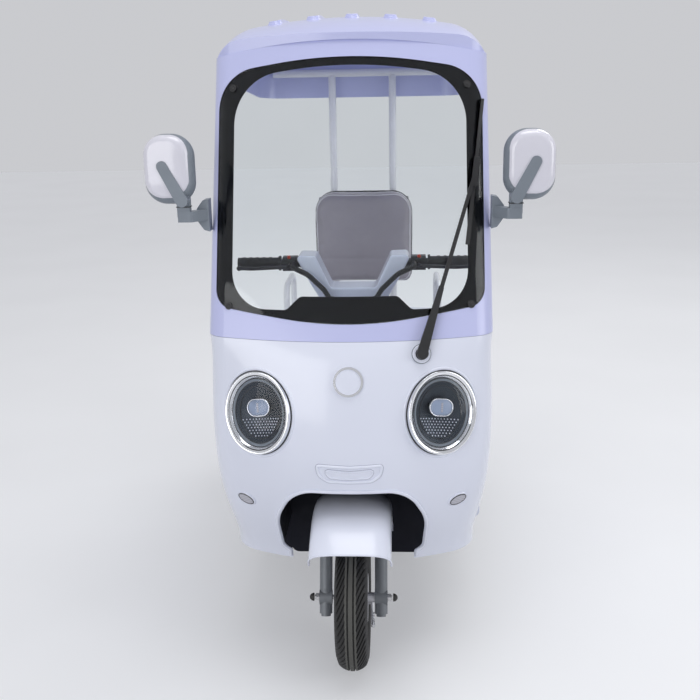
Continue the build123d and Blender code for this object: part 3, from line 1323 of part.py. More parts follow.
def trailing_arms():
    """Arm on each side from a bracket under the rail back to the axle tube, clamped round it."""
    arms = []
    for x in (-RAIL_X, RAIL_X):
        arm = tube_along([(x, ARM_FRONT_Y, 330), (x, WHEELBASE - 10, TYRE_RADIUS + 4)], None, 13)
        arm += x_bar((x - 20, x + 20), ARM_FRONT_Y, 330, 18)
        arm += x_bar((x - 18, x + 18), WHEELBASE, TYRE_RADIUS, AXLE_TUBE_RADIUS + 10)
        arm += block((x - 20, x + 20), (ARM_FRONT_Y - 15, ARM_FRONT_Y + 15), (330, REAR_RAIL_Z - RAIL_HEIGHT / 2 - SEAT_GAP))
        arm -= x_bar((x - 60, x + 60), WHEELBASE, TYRE_RADIUS, AXLE_TUBE_RADIUS + SEAT_GAP)
        arms.append(arm)
    return Compound(children=[arm.solid() for arm in arms])


def spring_units():
    """Coil and damper on each side between the axle clamp and the rail."""
    units = []
    foot = TYRE_RADIUS + AXLE_TUBE_RADIUS + 10 + SEAT_GAP
    top = REAR_RAIL_Z - RAIL_HEIGHT / 2 - SEAT_GAP
    span = top - foot
    coils = 6
    for x in (-RAIL_X, RAIL_X):
        unit = Cylinder(10, span)
        unit += Pos(0, 0, span / 2 - 4) * Cylinder(24, 8)
        unit += Pos(0, 0, 6 - span / 2 + 4) * Cylinder(24, 8)
        pitch = (span - 40) / (coils - 1)
        for index in range(coils):
            unit += Pos(0, 0, -span / 2 + 22 + pitch * index) * Cylinder(21, pitch * 0.5)
        unit = Pos(x, WHEELBASE, foot + span / 2) * unit
        units.append(unit)
    return Compound(children=[unit.solid() for unit in units])


def battery_block():
    """Battery pack laid on the two rear rails under the bench."""
    foot = REAR_RAIL_Z + RAIL_HEIGHT / 2 + SEAT_GAP
    return block((-166, 166), (BENCH_FRONT_Y + 10, BENCH_REAR_Y + 12), (foot, DECK_Z - 14))


def tail_lamps():
    """Oval red lamps laid on the rear body's corners."""
    face = Pos(250, 505) * RectangleRounded(96, 54, 20)
    skin = lofted(TUB, facing_rear, -1200, -6) - lofted(TUB, facing_rear, -1100, -SEAT_GAP)
    lamp = skin & front_prism(face, 1400, 1600)
    return Compound(children=[part.solid() for part in both_sides(lamp)])


def rear_bumper():
    """Bumper tube across the tail, its ends seated on the rear body's corners."""
    x = BUMPER_HALF_WIDTH
    z = BUMPER_Z
    root_y = BUMPER_REAR_Y - 130
    bar = tube_along(
        [(-x, root_y, z), (-x, BUMPER_REAR_Y, z), (x, BUMPER_REAR_Y, z), (x, root_y, z)],
        [60, 60],
        BUMPER_RADIUS,
    )
    return bar - lofted(TUB, facing_rear, -WHEELBASE, -SEAT_GAP)


def rear_plate():
    """Blank plate on two bosses on the tail."""
    plate = Pos(0, TUB_REAR_Y + 4.5, 470) * fillet(Box(170, 3, 100).edges().filter_by(Axis.Y), 8)
    for x in (-55, 55):
        plate += Pos(x, TUB_REAR_Y - 12, 470) * Rot(90, 0, 0) * Cylinder(9, 32)
    return plate - lofted(TUB, facing_rear, -WHEELBASE, -SEAT_GAP)


FRONT_DRUM_FROM = 4
FRONT_DRUM_TO = FRONT_DRUM_FROM + DRUM_DEPTH
FRONT_HUB_HALF = 33
REAR_BORE = AXLE_RADIUS + 2 + RUNNING_FIT

keep("chassis_frame", chassis_frame())
keep("floor_pan", floor_pan())
keep("floor_mat", floor_mat())
keep("cowl_lower", cowl_lower())
keep("cowl_upper", cowl_upper())
keep("windscreen", windscreen())
keep("windscreen_border", windscreen_border())
keep("wheel_well_liner", wheel_well_liner())
keep("inner_cowl", inner_cowl())
keep("side_sills", side_sills())
keep("brake_pedal", brake_pedal())
keep("smile_moulding", smile())
keep("nose_ring", nose_ring())
keep("headlamp_bezels", headlamp_bezels())
keep("headlamp_bowls", headlamp_bowls())
keep("headlamp_lenses", headlamp_lenses())
keep("marker_lamps", marker_lamps())
keep("wiper", wiper())
keep("mirror_arms", mirror_arms())
keep("mirror_housings", mirror_housings())
keep("mirror_glasses", mirror_glasses())
keep("rear_body", rear_body())
keep("rear_arch_liners", rear_arch_liners())
keep("store_tub", store_tub())
keep("saddle_hinge", saddle_hinge())
keep("saddle_pan", saddle_pan())
keep("saddle_cushion", saddle_cushion())
keep("bench_cushion", bench_cushion())
keep("backrest_pad", backrest_pad())
keep("backrest_board", backrest_board())
keep("armrest_loops", armrest_loops())
keep("roof_posts", roof_posts())
keep("roof_crossbar", roof_crossbar())
keep("roof_shell", roof_shell())
keep("rear_axle", rear_axle())
keep("trailing_arms", trailing_arms())
keep("spring_units", spring_units())
keep("battery_block", battery_block())
keep("tail_lamps", tail_lamps())
keep("rear_bumper", rear_bumper())
keep("rear_plate", rear_plate())
keep("fork", fork())
keep("fork_sliders", fork_sliders())
keep("front_axle", front_axle())
keep("front_fender", front_fender())
keep("brake_plate", brake_plate())
keep("handlebar", handlebar())
keep("grips", grips())
keep("switch_boxes", switch_boxes())
keep("brake_levers", brake_levers())
keep("handlebar_cowl", handlebar_cowl())
keep("instrument", instrument())
keep("control_hoses", control_hoses())
keep("front_tyre", Pos(*AXLE_CENTRE) * tyre())
front_rim = rim(AXLE_RADIUS + RUNNING_FIT, FRONT_HUB_HALF, FRONT_DRUM_FROM, 8, FRONT_DRUM_FROM, FRONT_DRUM_TO)
keep("front_rim", Pos(*AXLE_CENTRE) * front_rim)
rear_rim = Rot(0, 180, 0) * rim(REAR_BORE, REAR_HUB_HALF, 0, 8, REAR_HUB_HALF - 2 - DRUM_DEPTH, REAR_HUB_HALF - 2)
for side, x in (("left", -REAR_WHEEL_X), ("right", REAR_WHEEL_X)):
    place = Pos(x, WHEELBASE, TYRE_RADIUS)
    turned = rear_rim if x > 0 else mirror(rear_rim, about=Plane.YZ)
    keep(f"rear_tyre_{side}", place * tyre())
    keep(f"rear_rim_{side}", place * turned)

for name, shape in PARTS.items():
    export_step(shape, f"parts/{name}.step")
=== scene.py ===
import cmath
import json
from math import copysign, cos, exp, hypot, pi, radians, sin, sqrt, tan

import bmesh
import bpy
from mathutils import Matrix, Vector
from mathutils.bvhtree import BVHTree

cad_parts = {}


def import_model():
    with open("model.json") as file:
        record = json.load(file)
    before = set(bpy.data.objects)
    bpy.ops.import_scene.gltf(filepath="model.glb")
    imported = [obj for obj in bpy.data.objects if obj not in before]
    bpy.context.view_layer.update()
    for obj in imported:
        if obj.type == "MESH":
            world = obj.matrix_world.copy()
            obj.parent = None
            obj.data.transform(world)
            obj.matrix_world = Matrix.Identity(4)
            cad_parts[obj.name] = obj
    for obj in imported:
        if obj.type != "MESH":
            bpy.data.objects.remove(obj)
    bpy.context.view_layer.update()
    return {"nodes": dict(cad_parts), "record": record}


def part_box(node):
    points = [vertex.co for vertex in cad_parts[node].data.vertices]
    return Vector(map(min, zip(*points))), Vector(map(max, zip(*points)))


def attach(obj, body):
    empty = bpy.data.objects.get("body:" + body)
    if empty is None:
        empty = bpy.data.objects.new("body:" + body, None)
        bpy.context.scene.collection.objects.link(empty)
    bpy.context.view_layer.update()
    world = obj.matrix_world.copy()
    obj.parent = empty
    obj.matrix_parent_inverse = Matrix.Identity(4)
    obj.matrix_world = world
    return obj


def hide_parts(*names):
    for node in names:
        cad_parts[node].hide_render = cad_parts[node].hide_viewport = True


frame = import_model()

# The part's source measures in millimetres with Y from the front axle; the frame has its origin further back.
AXLE_TO_ORIGIN = 689.5
X, Y, Z = Vector((1, 0, 0)), Vector((0, 1, 0)), Vector((0, 0, 1))
SIDES = (-1, 1)


def mm(x, y, z):
    """Point of the part's source, in millimetres, as a place in the frame, in metres."""
    return Vector((x, y - AXLE_TO_ORIGIN, z)) / 1000


def in_scene(name, data):
    """New object with this data, in the scene."""
    obj = bpy.data.objects.new(name, data)
    bpy.context.scene.collection.objects.link(obj)
    return obj


def mirrored(vectors, side):
    """The vectors as they are on the viewer's right (side 1) or mirrored to the left (side -1)."""
    return tuple(Vector((side * v.x, v.y, v.z)) for v in vectors)


# Camera

CAMERA_PLACE = Vector((0.122, -2.8985, 1.484))
CAMERA_YAW = radians(-3.09)
CAMERA_PITCH = radians(-15.88)
CAMERA_ROLL = radians(-1.09)
CAMERA_LENS = 48.91


def make_camera():
    """Camera where the photo was taken from, as fitted to it."""
    data = bpy.data.cameras.new("camera")
    data.lens = CAMERA_LENS
    data.sensor_width = 36
    data.clip_start = 0.05
    data.clip_end = 60
    level = cos(CAMERA_PITCH)
    ahead = Vector((sin(CAMERA_YAW) * level, cos(CAMERA_YAW) * level, sin(CAMERA_PITCH)))
    flat_right = Vector((cos(CAMERA_YAW), -sin(CAMERA_YAW), 0))
    flat_up = flat_right.cross(ahead)
    right = flat_right * cos(CAMERA_ROLL) + flat_up * sin(CAMERA_ROLL)
    up = flat_up * cos(CAMERA_ROLL) - flat_right * sin(CAMERA_ROLL)
    camera = in_scene("camera", data)
    turn = Matrix((right, up, -ahead)).transposed().to_4x4()
    camera.matrix_world = Matrix.Translation(CAMERA_PLACE) @ turn
    bpy.context.scene.camera = camera


make_camera()


# Materials

def linear(red, green, blue):
    """Screen colour from 0 to 255 as linear light."""
    shares = (red / 255, green / 255, blue / 255)
    return [share / 12.92 if share <= 0.04045 else ((share + 0.055) / 1.055) ** 2.4 for share in shares]


def scaled(colour, share):
    return [min(1.0, value * share) for value in colour]


def add_node(tree, kind, inputs=None, **settings):
    """New node; each input is given a value, or the socket to take it from."""
    node = tree.nodes.new(kind)
    for key, value in settings.items():
        setattr(node, key, value)
    for key, value in (inputs or {}).items():
        if isinstance(value, bpy.types.NodeSocket):
            tree.links.new(value, node.inputs[key])
        else:
            node.inputs[key].default_value = value
    return node


class Nodes:
    """One new material, with short ways to add nodes to it."""

    def __init__(self, name):
        self.material = bpy.data.materials.new(name)
        self.material.use_nodes = True
        self.tree = self.material.node_tree
        self.shader = self.tree.nodes["Principled BSDF"]
        self.place = self.add("ShaderNodeTexCoord").outputs["Object"]

    def add(self, kind, inputs=None, **settings):
        return add_node(self.tree, kind, inputs, **settings)

    def noise(self, scale, detail=3.0, rough=0.5, stretch=None):
        place = self.place
        if stretch:
            place = self.add("ShaderNodeMapping", {"Scale": stretch, "Vector": place}).outputs["Vector"]
        inputs = {"Scale": scale, "Detail": detail, "Roughness": rough, "Vector": place}
        return self.add("ShaderNodeTexNoise", inputs).outputs["Fac"]

    def cells(self, scale):
        return self.add("ShaderNodeTexVoronoi", {"Scale": scale, "Vector": self.place}).outputs["Distance"]

    def ramp(self, factor, low, low_colour, high, high_colour):
        node = self.add("ShaderNodeValToRGB", {"Fac": factor})
        for element, at, colour in zip(node.color_ramp.elements, (low, high), (low_colour, high_colour)):
            element.position = at
            element.color = (*colour, 1)
        return node.outputs["Color"]

    def cloud(self, factor, low, high, colour, darker, lighter):
        return self.ramp(factor, low, scaled(colour, 1 - darker), high, scaled(colour, 1 + lighter))

    def span(self, factor, low, high, from_low=0.0, from_high=1.0):
        ends = {"From Min": from_low, "From Max": from_high, "To Min": low, "To Max": high}
        return self.add("ShaderNodeMapRange", {"Value": factor, **ends}).outputs["Result"]

    def mixed(self, factor, first, second):
        inputs = {"Factor": factor, "A": first, "B": second}
        return self.add("ShaderNodeMix", inputs, data_type="RGBA").outputs["Result"]

    def bump(self, height, distance, strength, **under):
        inputs = {"Height": height, "Distance": distance, "Strength": strength, **under}
        return self.add("ShaderNodeBump", inputs).outputs["Normal"]

    def finish(self, colour, rough, normal=None, **values):
        """Joins the looks to the shader, sets its other values and gives the material."""
        for key, source in (("Base Color", colour), ("Roughness", rough), ("Normal", normal)):
            if source:
                self.tree.links.new(source, self.shader.inputs[key])
        for key, value in values.items():
            self.shader.inputs[key.replace("_", " ")].default_value = value
        return self.material


def dusted(nodes, base, dust, top=0.42):
    """Base colour with a thin film of floor dust that fades out upwards."""
    split = nodes.add("ShaderNodeSeparateXYZ", {"Vector": nodes.place})
    height = nodes.span(split.outputs["Z"], 1.0, 0.0, 0.0, top)
    patches = nodes.noise(9.0, 5.0, 0.6)
    inputs = {0: height, 1: nodes.span(patches, 0.0, 0.34, 0.42, 0.72)}
    share = nodes.add("ShaderNodeMath", inputs, operation="MULTIPLY").outputs["Value"]
    return nodes.mixed(share, base, nodes.ramp(patches, 0.3, dust, 0.7, scaled(dust, 0.8)))


def paint(name, colour, rough, coat, vary=0.03, dusty=True):
    """Gloss paint or gel coat: slight cloud, faint orange peel and a clear coat."""
    nodes = Nodes(name)
    tone = nodes.cloud(nodes.noise(2.4, 4.0, 0.55), 0.32, 0.68, colour, vary, vary)
    if dusty:
        tone = dusted(nodes, tone, linear(170, 164, 158))
    sheen = nodes.span(nodes.noise(5.0, 2.0, 0.5), rough - 0.005, rough + 0.008, 0.3, 0.7)
    peel = nodes.bump(nodes.noise(140.0, 1.0, 0.4), 0.00006, 0.25)
    return nodes.finish(tone, sheen, peel, Coat_Weight=coat, Coat_Roughness=0.1)


def plastic(name, colour, rough, grain=700.0, depth=0.00025, vary=0.12, dusty=False, level=0.5):
    """Moulded plastic: fine leather-like grain and slightly uneven sheen."""
    nodes = Nodes(name)
    tone = nodes.cloud(nodes.noise(6.0, 4.0, 0.6), 0.3, 0.7, colour, vary, vary)
    if dusty:
        tone = dusted(nodes, tone, linear(122, 116, 110), 0.6)
    sheen = nodes.span(nodes.noise(30.0, 4.0, 0.6), rough - 0.08, rough + 0.1, 0.3, 0.7)
    return nodes.finish(tone, sheen, nodes.bump(nodes.cells(grain), depth, 0.5), Specular_IOR_Level=level)


def metal(name, colour, rough, streak=(1, 1, 1), vary=0.12, metallic=1.0):
    """Bare or plated metal with fine streaks and smudges."""
    nodes = Nodes(name)
    streaks = nodes.noise(240.0, 3.0, 0.6, streak)
    smudge = nodes.noise(11.0, 4.0, 0.6)
    tone = nodes.cloud(smudge, 0.3, 0.7, colour, vary, vary * 0.5)
    sheen = nodes.span(streaks, max(0.02, rough - 0.07), rough + 0.09, 0.3, 0.7)
    return nodes.finish(tone, sheen, nodes.bump(streaks, 0.00008, 0.4), Metallic=metallic)


def rubber(name, colour, rough, fade):
    """Rubber that is paler by the fade where it is worn."""
    nodes = Nodes(name)
    worn = nodes.noise(34.0, 6.0, 0.65)
    tone = nodes.ramp(worn, 0.35, colour, 0.8, [value + fade for value in colour])
    sheen = nodes.span(worn, rough - 0.08, rough + 0.14, 0.3, 0.75)
    fine = nodes.bump(nodes.noise(900.0, 2.0, 0.5), 0.0002, 0.5)
    return nodes.finish(dusted(nodes, tone, linear(92, 88, 84), 0.4), sheen, fine)


def leather(name, colour):
    """Soft vinyl: pebbled grain with painted shade in its dips, faint creases and a low sheen."""
    nodes = Nodes(name)
    pebble = nodes.cells(520.0)
    tone = nodes.cloud(nodes.noise(7.0, 5.0, 0.6), 0.3, 0.7, colour, 0.14, 0.12)
    # Painted shade: the pebble grain's dips are made darker, mixed in by patches
    shaded_dips = nodes.ramp(pebble, 0.1, scaled(colour, 0.72), 0.5, colour)
    share = nodes.span(nodes.noise(60.0, 3.0, 0.5), 0.15, 0.5, 0.3, 0.7)
    wrinkles = nodes.bump(nodes.noise(42.0, 6.0, 0.7, (1, 2.4, 1)), 0.0012, 0.35)
    grain = nodes.bump(pebble, 0.0005, 0.6, Normal=wrinkles)
    sheen = nodes.span(pebble, 0.56, 0.4, 0.0, 0.6)
    mixed = nodes.mixed(share, tone, shaded_dips)
    return nodes.finish(mixed, sheen, grain, Sheen_Weight=0.15, Sheen_Roughness=0.5)


def glass(name, tint, rough, ior):
    """Clear pane with a trace of smudging in its gloss."""
    nodes = Nodes(name)
    smudge = nodes.noise(7.0, 5.0, 0.6)
    tone = nodes.cloud(smudge, 0.3, 0.7, tint, 0.0, 0.02)
    sheen = nodes.span(smudge, rough, rough + 0.03, 0.5, 0.8)
    return nodes.finish(tone, sheen, Transmission_Weight=1.0, IOR=ior)


def lens(name, colour, bands):
    """Ribbed clear-coloured lamp lens."""
    nodes = Nodes(name)
    inputs = {"Scale": 60.0, "Distortion": 0.0, "Vector": nodes.place}
    ribs = nodes.add("ShaderNodeTexWave", inputs, bands_direction=bands).outputs["Fac"]
    tone = nodes.ramp(ribs, 0.2, scaled(colour, 0.7), 0.8, colour)
    sheen = nodes.span(nodes.noise(20.0), 0.08, 0.18, 0.3, 0.7)
    return nodes.finish(tone, sheen, nodes.bump(ribs, 0.0008, 0.6), Coat_Weight=1.0, Coat_Roughness=0.04)


def mirror_face(name):
    nodes = Nodes(name)
    haze = nodes.noise(5.0, 4.0, 0.5)
    tone = nodes.ramp(haze, 0.3, (0.84, 0.87, 0.9), 0.7, (0.88, 0.9, 0.92))
    return nodes.finish(tone, nodes.span(haze, 0.01, 0.04, 0.4, 0.8), Metallic=1.0)


# The materials of the record's slots, each with its slot's name
SLOT_MATERIALS = [
    paint("lilac_paint", linear(198, 202, 242), 0.3, 0.4, vary=0.006, dusty=False),
    paint("white_paint", linear(231, 235, 250), 0.26, 0.5, vary=0.006, dusty=False),
    paint("frame_black", (0.022, 0.022, 0.025), 0.36, 0.2, vary=0.2),
    paint("white_tube", linear(236, 236, 240), 0.28, 0.5, dusty=False),
    paint("spring_steel", (0.36, 0.03, 0.03), 0.3, 0.5, vary=0.1),
    paint("plate_blank", linear(205, 207, 210), 0.4, 0.1),
    paint("pearl_plastic", linear(226, 225, 236), 0.2, 0.9, dusty=False),
    plastic("black_border", (0.003, 0.003, 0.005), 0.36, 60.0, 0.00004, 0.2, level=0.03),
    glass("clear_glass", (0.93, 0.97, 0.98), 0.02, 1.3),
    glass("lamp_lens", (0.97, 0.98, 1.0), 0.01, 1.2),
    plastic("liner_plastic", (0.008, 0.009, 0.017), 0.6, level=0.2),
    plastic("floor_plastic", (0.11, 0.11, 0.12), 0.5, dusty=True),
    plastic("inner_plastic", linear(214, 212, 230), 0.42, vary=0.03),
    plastic("black_plastic", (0.018, 0.018, 0.02), 0.42),
    plastic("grey_plastic", linear(128, 136, 146), 0.4, vary=0.06),
    metal("chrome_trim", (0.82, 0.83, 0.86), 0.09),
    metal("lamp_reflector", (0.04, 0.05, 0.066), 0.4, metallic=0.5),
    metal("zinc_steel", (0.56, 0.56, 0.57), 0.36, (1, 1, 4)),
    metal("fork_steel", linear(98, 102, 107), 0.42, (1, 1, 0.1), metallic=0.35),
    metal("fork_silver", linear(124, 128, 133), 0.46, (1, 1, 0.2), metallic=0.3),
    metal("drum_silver", (0.55, 0.55, 0.58), 0.42, vary=0.2),
    metal("lever_alloy", (0.06, 0.06, 0.065), 0.34, metallic=0.7),
    lens("marker_lens", linear(196, 196, 208), "Z"),
    lens("tail_lens", (0.42, 0.008, 0.01), "X"),
    mirror_face("mirror_face"),
    leather("seat_leather", linear(152, 147, 156)),
    rubber("grip_rubber", (0.012, 0.012, 0.013), 0.5, 0.012),
    rubber("mat_rubber", (0.03, 0.03, 0.032), 0.62, 0.03),
    rubber("tyre", (0.005, 0.005, 0.006), 0.62, 0.0096),
]
# Where the frame has a material of the same name, the new one's name ends in a dot and a number
SLOTS = {material.name.partition(".")[0]: material for material in SLOT_MATERIALS}

PIPING = leather("piping_pale", linear(214, 212, 218))
THREAD = leather("thread_pale", linear(190, 186, 190))
BUTTON_RED = plastic("button_red", linear(214, 70, 34), 0.35, vary=0.05)
WORN_TREAD = rubber("worn_tread", linear(82, 82, 79), 0.75, 0.024)
LAMP_GLASS = plastic("lamp_glass", linear(150, 164, 190), 0.12, 60.0, 0.0001, 0.1)
SMILE_SHADE = plastic("smile_shade", linear(172, 174, 190), 0.4, vary=0.02)
SCREEN_DARK = paint("screen_dark", (0.01, 0.012, 0.016), 0.12, 1.0, vary=0.2, dusty=False)

for row in frame["record"]["subparts"]:
    mesh = frame["nodes"][row["node"]].data
    mesh.materials.clear()
    mesh.materials.append(SLOTS[row["material_slot"]])


# Mesh helpers

def square_to(axis):
    """Unit vector at right angles to an axis."""
    return axis.cross(Z if abs(axis.z) < 0.9 else Y).normalized()


def oval(centre, side, up, count):
    """Points round an ellipse whose half axes are given as vectors."""
    turns = [2 * pi * index / count for index in range(count)]
    return [centre + side * cos(turn) + up * sin(turn) for turn in turns]


def add_skin(mesh, rows, closed=False, caps=()):
    """Faces between closed rows of points, where a row may be one point.

    A closed skin joins its last row to its first one; caps are the indexes of the rows to fill.
    """
    made = [[mesh.verts.new(point) for point in row] for row in rows]
    following = made[1:] + made[:1] if closed else made[1:]
    for here, there in zip(made, following):
        count = max(len(here), len(there))
        for index in range(count):
            after = (index + 1) % count
            corners = ((here, index), (here, after), (there, after), (there, index))
            mesh.faces.new(list(dict.fromkeys(row[at % len(row)] for row, at in corners)))
    for index in caps:
        mesh.faces.new(made[index])


def ring_frames(points, closed):
    """(side, up) along a line of points, turned as little as possible from one to the next."""
    frames = []
    count = len(points)
    side = None
    for index in range(count):
        before = points[index - 1] if closed or index else points[0]
        after = points[(index + 1) % count] if closed or index < count - 1 else points[-1]
        ahead = (after - before).normalized()
        side = (side - ahead * side.dot(ahead)).normalized() if side else square_to(ahead)
        frames.append((side, ahead.cross(side)))
    return frames


def add_tube(mesh, points, radius, segments, closed=False):
    """Round tube along points; radius is one number or a list with one for each point."""
    radii = radius if isinstance(radius, list) else [radius] * len(points)
    frames = ring_frames(points, closed)
    rows = [oval(p, side * size, up * size, segments) for p, size, (side, up) in zip(points, radii, frames)]
    add_skin(mesh, rows, closed, () if closed else (0, -1))


def add_lathe(mesh, centre, axis, profile, segments, closed=False):
    """Surface turned about an axis from (along, radius) rows in metres; a closed one is a ring section."""
    side = square_to(axis)
    up = axis.cross(side)
    rows = []
    for along, radius in profile:
        rows.append(oval(centre + axis * along, side * radius, up * radius, segments if radius > 1e-6 else 1))
    add_skin(mesh, rows, closed)


def add_bolt(mesh, place, normal, radius, height):
    """Six-sided bolt head with a chamfer, on a washer."""
    washer = radius * 1.45
    add_lathe(mesh, place, normal, [(-0.0005, washer), (height * 0.25, washer), (height * 0.25, 0)], 20)
    rows = [(0, radius), (height * 0.85, radius), (height, radius * 0.85), (height, 0)]
    add_lathe(mesh, place, normal, rows, 6)


def add_dome(mesh, place, normal, radius, height, segments=16):
    rows = [(-0.0005, radius)]
    for step in range(6):
        angle = pi / 2 * step / 5
        rows.append((height * sin(angle), radius * cos(angle)))
    add_lathe(mesh, place, normal.normalized(), rows, segments)


def add_box(mesh, centre, size, bevel, turn=Matrix.Identity(3)):
    """Box with bevelled edges."""
    verts = bmesh.ops.create_cube(mesh, size=1.0)["verts"]
    place = Matrix.Translation(centre) @ turn.to_4x4() @ Matrix.Diagonal((*size, 1))
    bmesh.ops.transform(mesh, matrix=place, verts=verts)
    edges = list({edge for vert in verts for edge in vert.link_edges})
    bmesh.ops.bevel(mesh, geom=edges, offset=bevel, segments=2, affect="EDGES", profile=0.6)


def piece(name, mesh, slot, stands_for=None, crease=32, body="root", material=None):
    """Turns a bmesh into a finished piece, which may stand for a node or have a material of its own."""
    bmesh.ops.recalc_face_normals(mesh, faces=mesh.faces)
    data = bpy.data.meshes.new(name)
    mesh.to_mesh(data)
    mesh.free()
    data.materials.append(material or SLOTS[slot])
    data.shade_smooth()
    data.set_sharp_from_angle(angle=radians(crease))
    obj = in_scene(name, data)
    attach(obj, body)
    if stands_for:
        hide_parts(stands_for)
    return obj


def evenly(points, step):
    """Line through the points with one about every step."""
    even = [points[0]]
    for here, there in zip(points, points[1:]):
        length = (there - here).length
        count = max(1, round(length / step)) if length > 1e-7 else 0
        even += [here.lerp(there, (index + 1) / count) for index in range(count)]
    return even


def rounded_path(corners, radii, step):
    """Straight runs joined by arcs through corner points, sampled evenly."""
    points = [corners[0]]
    for before, corner, after, radius in zip(corners, corners[1:], corners[2:], radii):
        back = (before - corner).normalized()
        ahead = (after - corner).normalized()
        half = back.angle(ahead) / 2
        centre = corner + (back + ahead).normalized() * (radius / sin(half))
        first = corner + back * (radius / tan(half)) - centre
        last = corner + ahead * (radius / tan(half)) - centre
        turn = first.angle(last)
        count = max(2, int(radius * turn / step))
        for index in range(count + 1):
            bend = Matrix.Rotation(turn * index / count, 3, first.cross(last).normalized())
            points.append(centre + bend @ first)
    return evenly(points + [corners[-1]], step)


def rounded_corners(wide, tall, corner, count):
    """(across, up) points round the corners of a rectangle about the origin, count for each corner."""
    points = []
    for quarter, (x_sign, y_sign) in enumerate(((1, 1), (-1, 1), (-1, -1), (1, -1))):
        for index in range(count):
            angle = pi / 2 * (quarter + index / (count - 1))
            x = x_sign * (wide - corner) + corner * cos(angle)
            points.append((x, y_sign * (tall - corner) + corner * sin(angle)))
    return points


def rounded_rectangle(middle, across, up, wide, tall, corner, count=30):
    """Evenly spaced line round a rectangle with rounded corners, in metres."""
    corners = rounded_corners(wide, tall, corner, count)
    points = [middle + across * x + up * y for x, y in corners]
    return evenly(points + points[:1], 0.004)[:-1]


def helix(centre, axis, radius, low, high, turns, count):
    """Coil of level turns along an axis, with count points a turn."""
    points = []
    for index in range(int(turns * count) + 1):
        share = index / int(turns * count)
        across = X * cos(2 * pi * turns * share) + Y * sin(2 * pi * turns * share)
        points.append(centre + axis * (low + (high - low) * share) + across * radius)
    return points


def node_box(node):
    """Low and high corner, middle and half size of a node."""
    low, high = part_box(node)
    return low, high, (low + high) / 2, (high - low) / 2


def node_tree(node):
    """What rays are cast on to lay a line or a face on a node's surface."""
    return BVHTree.FromObject(frame["nodes"][node], bpy.context.evaluated_depsgraph_get())


def laid(tree, points, inward, lift=0.0):
    """Points moved along a direction onto a surface, then lifted back off it; one that misses is left out."""
    hits = [tree.ray_cast(point, inward)[0] for point in points]
    return [place - inward * lift for place in hits if place]


FRONT_PLANE = -1.5


def both_halves(edge):
    """Line before the nose, left to right, from its right half's (x, z, corner radius) in millimetres."""
    corners = [Vector((x / 1000, FRONT_PLANE, z / 1000)) for x, z, _ in edge]
    half = rounded_path(corners, [radius / 1000 for _, _, radius in edge[1:-1]], 0.004)
    return list(mirrored(reversed(half), -1)) + half[1:]


def beside(flat, offset, closed=False):
    """Line in the front plane moved to the left of its own direction, without the ends of an open one."""
    line = []
    last = len(flat) - 1
    for index in range(0 if closed else 1, last + 1 if closed else last):
        ahead = (flat[index + 1 if index < last else 0] - flat[index - 1]).normalized()
        line.append(flat[index] + Vector((-ahead.z, 0, ahead.x)) * offset)
    return line


# Tyres with tread

TYRE_RADIUS = 183.5
CROWN_RADIUS = 48.29
TYRE_PITCHES = 52
GROOVE_DEPTH = 4.2
SIPE_DEPTH = 3.4
SIPE_SLOPE = 2.4
SIPE_START, SIPE_END = 13.6, 36
# Tread from the middle out: x, groove depth and share of the sipe's depth
TREAD = [
    (2.6, 0, 0), (5.0, 0, 0), (5.4, GROOVE_DEPTH, 0), (8.8, GROOVE_DEPTH, 0), (9.2, 0, 0), (12.5, 0, 0),
    (SIPE_START, 0, 0), (14.4, 0, 0.8), (18.5, 0, 1), (23, 0, 1), (27.5, 0, 1), (31, 0, 1), (34, 0, 0.9),
]
# By their place down the sidewall: shares of the sipe's depth, and how far its rings stand out
SIDE_SIPES = {1: 0.75, 2: 0.4}
SIDE_RINGS = {4: -0.5, 5: 0.7, 6: 0.7, 7: -0.4, 12: -0.5, 13: 0.8}
BEAD = [(30.2, 108, 0), (30.2, 104.5, 0), (28, 103.2, 0), (20, 103.2, 0)]
# Along one pitch of the tread: share of the pitch, and 1 inside a sipe
SIPE_STEPS = [(0.0, 0), (0.42, 0), (0.5, 1), (0.74, 1), (0.82, 0)]
WORN_HALF_WIDTH = 0.0142
REAR_AXLE_Y = 1200
WHEELS = [
    ("front", "front_tyre", mm(0, 0, TYRE_RADIUS), "front_wheel"),
    ("rear_left", "rear_tyre_left", mm(-295, REAR_AXLE_Y, TYRE_RADIUS), "rear_wheel_left"),
    ("rear_right", "rear_tyre_right", mm(295, REAR_AXLE_Y, TYRE_RADIUS), "rear_wheel_right"),
]
FRONT_AXLE = WHEELS[0][2]


def arc_through(start, middle, end, count):
    """(x, radius) points of the arc through three such points, worked out as complex numbers."""
    a, b, c = (complex(*point) for point in (start, middle, end))
    ratio = (c - a) / (b - a)
    centre = a + (b - a) * (ratio - abs(ratio) ** 2) / (2j * ratio.imag)
    first, last = cmath.phase(a - centre), cmath.phase(c - centre)
    turns = [first + (last - first) * index / count for index in range(count + 1)]
    points = [centre + cmath.rect(abs(a - centre), turn) for turn in turns]
    return [(point.real, point.imag) for point in points]


def tyre_section():
    """(x, radius, share of the sipe's depth) rows across the tyre."""
    crown = TYRE_RADIUS - CROWN_RADIUS
    half = [(x, crown + sqrt(CROWN_RADIUS**2 - x**2) - groove, sipe) for x, groove, sipe in TREAD]
    side = arc_through((34, 169.5), (41, 143.5), (30.2, 113), 16)
    for index, (x, radius) in enumerate(side[1:], 1):
        half.append((x + SIDE_RINGS.get(index, 0), radius, SIDE_SIPES.get(index, 0)))
    half += BEAD
    return [(-x, radius, sipe) for x, radius, sipe in reversed(half)] + [(0, TYRE_RADIUS, 0)] + half


